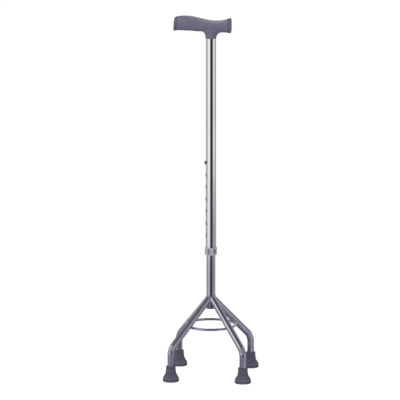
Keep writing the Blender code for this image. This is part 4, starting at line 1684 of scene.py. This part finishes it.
@dataclass
class Studio:
    """A pale floor, soft light and the camera, with dark flags and softboxes only mirrors see."""

    azimuth: float = 6.4
    elevation: float = 12.0
    distance: float = 20.0
    clip_end: float = 100.0
    frame_width: float = 0.8228
    aim_side: float = -0.0224
    aim_height: float = 0.3671
    band_edge: float = 3.0
    floor_radius: float = 9.0
    floor_sides: int = 96
    floor_depth: float = 0.1 * MM
    floor_colour: str = "#dededf"
    # The floor's own white makes up for the share that is left to show the shadow
    floor_white: float = 1.12
    shadow_share: float = 0.16
    plain_colour: str = "#fbfbff"
    plain_light: float = 0.72
    horizon_reach: float = 4.0
    horizon_fade: float = 0.1
    key_power: float = 40.0
    key_size: float = 1.6
    key_direction: tuple[float, float, float] = (-0.32, -0.54, 0.78)
    key_distance: float = 3.2
    key_aim: float = 0.4
    right: Vector = field(init=False)
    toward: Vector = field(init=False)

    def __post_init__(self) -> None:
        """Work out the camera's level directions."""
        turn = math.radians(self.azimuth)
        self.right = Vector((math.cos(turn), math.sin(turn), 0))
        self.toward = Vector((math.sin(turn), -math.cos(turn), 0))

    def add_camera(self) -> None:
        """Set the camera far back with a long lens, as the photograph has almost no perspective."""
        data = bpy.data.cameras.new("studio_camera")
        data.lens = data.sensor_width * self.distance / self.frame_width
        data.clip_end = self.clip_end
        camera = new_object("studio_camera", data)
        lift = math.radians(self.elevation)
        back = self.toward * math.cos(lift) + Vector((0, 0, math.sin(lift)))
        aim = self.right * self.aim_side + Vector((0, 0, self.aim_height))
        camera.location = aim + back * self.distance
        camera.rotation_euler = back.to_track_quat("Z", "Y").to_euler()
        bpy.context.scene.camera = camera

    def band_group(self) -> bpy.types.NodeTree:
        """What a mirror sees along the floor: bands by direction, darker close to the object.

        Returns:
            A shader group from a place on the floor, in metres, to the light seen there.
        """
        group = bpy.data.node_groups.new("mirror_bands", "ShaderNodeTree")
        group.interface.new_socket("Place", in_out="INPUT", socket_type="NodeSocketVector")
        group.interface.new_socket("Light", in_out="OUTPUT", socket_type="NodeSocketColor")
        tree = Tree(group)
        place = tree.add("NodeGroupInput")["Place"]
        ahead, aside = (
            tree.add("ShaderNodeVectorMath", {0: place, 1: way}, operation="DOT_PRODUCT")["Value"]
            for way in (self.toward, self.right)
        )
        angle = tree.add("ShaderNodeMath", {0: aside, 1: ahead}, operation="ARCTAN2")[0]
        turn = tree.add("ShaderNodeMapRange", {
            "Value": angle, "From Min": -math.pi, "From Max": math.pi,
        })["Result"]
        reach = tree.add("ShaderNodeVectorMath", {0: place}, operation="LENGTH")["Value"]
        light = self.band_ramp(tree, turn, UNDER_BANDS)
        for start, full, bands in FLOOR_RINGS:
            share = tree.add("ShaderNodeMapRange", {
                "Value": reach, "From Min": start, "From Max": full,
            })["Result"]
            light = tree.add("ShaderNodeMix", {
                0: share, MIX_UNDER: light, MIX_OVER: self.band_ramp(tree, turn, bands),
            }, data_type="RGBA")[MIX_RESULT]
        tree.add("NodeGroupOutput", {"Light": light})
        return group

    def band_ramp(self, tree: Tree, turn: Socket, bands: Sequence[tuple[float, str]]) -> Socket:
        """Colour bands by direction, with soft edges.

        Args:
            tree: the tree to add to.
            turn: direction as a share of a full turn.
            bands: where each band starts, in degrees to the camera's right, and its colour.

        Returns:
            The band's colour.
        """
        colour = tree.add("ShaderNodeValToRGB", {"Fac": turn})["Color"]
        starts = [start for start, code in bands]
        ends = starts[1:] + [180.0 + self.band_edge]
        stops = []
        for (start, code), end in zip(bands, ends):
            stops += [(start + self.band_edge, code), (end - self.band_edge, code)]
        ramp = colour.node.color_ramp
        while len(ramp.elements) < len(stops):
            ramp.elements.new(0.5)
        # A moved stop can change places with its neighbour, so the colours come after all the moves
        for element, (degrees, code) in zip(ramp.elements, stops):
            element.position = progress(degrees, -180.0, 180.0)
        for element, (degrees, code) in zip(ramp.elements, stops):
            element.color = linear(code)
        return colour

    def by_ray(self, tree: Tree, seen: Socket, mirrored: Socket, plain: Socket) -> Socket:
        """Show one thing to the camera, another to mirrors and a third to all other light.

        Args:
            tree: the tree to add to.
            seen: what the camera sees.
            mirrored: what mirrors see.
            plain: what lights the object.

        Returns:
            The mixed surface.
        """
        rays = tree.add("ShaderNodeLightPath")
        rest = tree.add("ShaderNodeMixShader", {0: rays["Is Glossy Ray"], 1: plain, 2: mirrored})[0]
        return tree.add("ShaderNodeMixShader", {0: rays["Is Camera Ray"], 1: rest, 2: seen})[0]

    def add_floor(self, bands: bpy.types.NodeTree) -> None:
        """Lay the floor: white to the camera with a faint shadow, banded to mirrors.

        Args:
            bands: the group of mirror bands.
        """
        bm = bmesh.new()
        bmesh.ops.create_circle(bm, cap_ends=True, segments=self.floor_sides, radius=self.floor_radius)
        floor = from_bmesh("studio_floor", bm, Matrix.Translation((0, 0, -self.floor_depth)))
        material = bpy.data.materials.new("pale_studio_floor")
        material.use_nodes = True
        tree = Tree(material.node_tree)
        tree.tree.nodes.clear()
        plain = tree.add("ShaderNodeBsdfDiffuse", {"Color": linear(self.floor_colour)})[0]
        white = tree.add("ShaderNodeEmission", {"Color": linear("#ffffff"), "Strength": self.floor_white})[0]
        seen = tree.add("ShaderNodeMixShader", {0: self.shadow_share, 1: white, 2: plain})[0]
        light = tree.add("ShaderNodeGroup", {"Place": tree.add("ShaderNodeTexCoord")["Object"]},
                         node_tree=bands)["Light"]
        banded = tree.add("ShaderNodeEmission", {"Color": light})[0]
        tree.add("ShaderNodeOutputMaterial", {"Surface": self.by_ray(tree, seen, banded, plain)})
        floor.data.materials.append(material)

    def lay_sky(self, tree: Tree, way: Socket, light: Socket) -> Socket:
        """Lay the sky over the bands' far end: one even grey, with softboxes and dark flags in it.

        Args:
            tree: the world's tree.
            way: the way that a ray goes.
            light: the light from the bands' far end.

        Returns:
            The light that a mirror sees that way.
        """
        height = tree.add("ShaderNodeSeparateXYZ", {"Vector": way})["Z"]
        layers = [(height, 0.0, self.horizon_fade, SKY_COLOUR)]
        for direction, inner, outer, code in SKY_PATCHES:
            facing = tree.add("ShaderNodeVectorMath", {
                0: way, 1: Vector(direction).normalized(),
            }, operation="DOT_PRODUCT")["Value"]
            layers.append((facing, math.cos(math.radians(outer)), math.cos(math.radians(inner)), code))
        for value, gone, full, code in layers:
            share = tree.add("ShaderNodeMapRange", {
                "Value": value, "From Min": gone, "From Max": full,
            }, interpolation_type="SMOOTHSTEP")["Result"]
            light = tree.add("ShaderNodeMix", {
                0: share, MIX_UNDER: light, MIX_OVER: linear(code),
            }, data_type="RGBA")[MIX_RESULT]
        return light

    def add_world(self, bands: bpy.types.NodeTree) -> None:
        """White to the camera, plain light on the object, and softboxes and flags to mirrors.

        Args:
            bands: the group of mirror bands.
        """
        world = bpy.data.worlds.new("studio_surround")
        bpy.context.scene.world = world
        world.use_nodes = True
        tree = Tree(world.node_tree)
        tree.tree.nodes.clear()
        way = tree.add("ShaderNodeTexCoord")["Generated"]
        level = tree.add("ShaderNodeVectorMath", {0: way, 1: (1, 1, 0)}, operation="MULTIPLY")[0]
        unit = tree.add("ShaderNodeVectorMath", {0: level}, operation="NORMALIZE")[0]
        far = tree.add("ShaderNodeVectorMath", {0: unit, "Scale": self.horizon_reach}, operation="SCALE")[0]
        banded = tree.add("ShaderNodeGroup", {"Place": far}, node_tree=bands)["Light"]
        light = self.lay_sky(tree, way, banded)
        seen, mirrored, plain = (
            tree.add("ShaderNodeBackground", {"Color": colour, "Strength": strength})[0]
            for colour, strength in ((linear("#ffffff"), 1.0), (light, 1.0),
                                     (linear(self.plain_colour), self.plain_light))
        )
        tree.add("ShaderNodeOutputWorld", {"Surface": self.by_ray(tree, seen, mirrored, plain)})

    def add_key(self) -> None:
        """Hang one large soft lamp at the upper left, in front."""
        data = bpy.data.lights.new("key_softbox", "AREA")
        data.energy = self.key_power
        data.size = self.key_size
        lamp = new_object("key_softbox", data)
        direction = Vector(self.key_direction).normalized()
        lamp.location = direction * self.key_distance + Vector((0, 0, self.key_aim))
        lamp.rotation_euler = direction.to_track_quat("Z", "Y").to_euler()
        lamp.visible_glossy = False

    def build(self) -> None:
        """Set the camera, floor, surround, lamp and view."""
        bpy.context.scene.view_settings.view_transform = "Standard"
        self.add_camera()
        bands = self.band_group()
        self.add_floor(bands)
        self.add_world(bands)
        self.add_key()


def main() -> None:
    """Load the frame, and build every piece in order."""
    logging.basicConfig(level=logging.INFO, format="%(name)s: %(message)s")
    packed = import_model()["nodes"]
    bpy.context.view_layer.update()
    Studio().build()
    HeightShaft().build()
    PushButton().build()
    LockRing().build()
    WeldedBase().build()
    RubberTips().build()
    Handle().build()
    HandleScrew().build()
    refinish(packed, NYLON, "tube_collet", "guide_bush")
    refinish(packed, ZINC_STEEL, *(f"{corner}_washer" for corner in CORNERS))


if __name__ == "__main__":
    main()
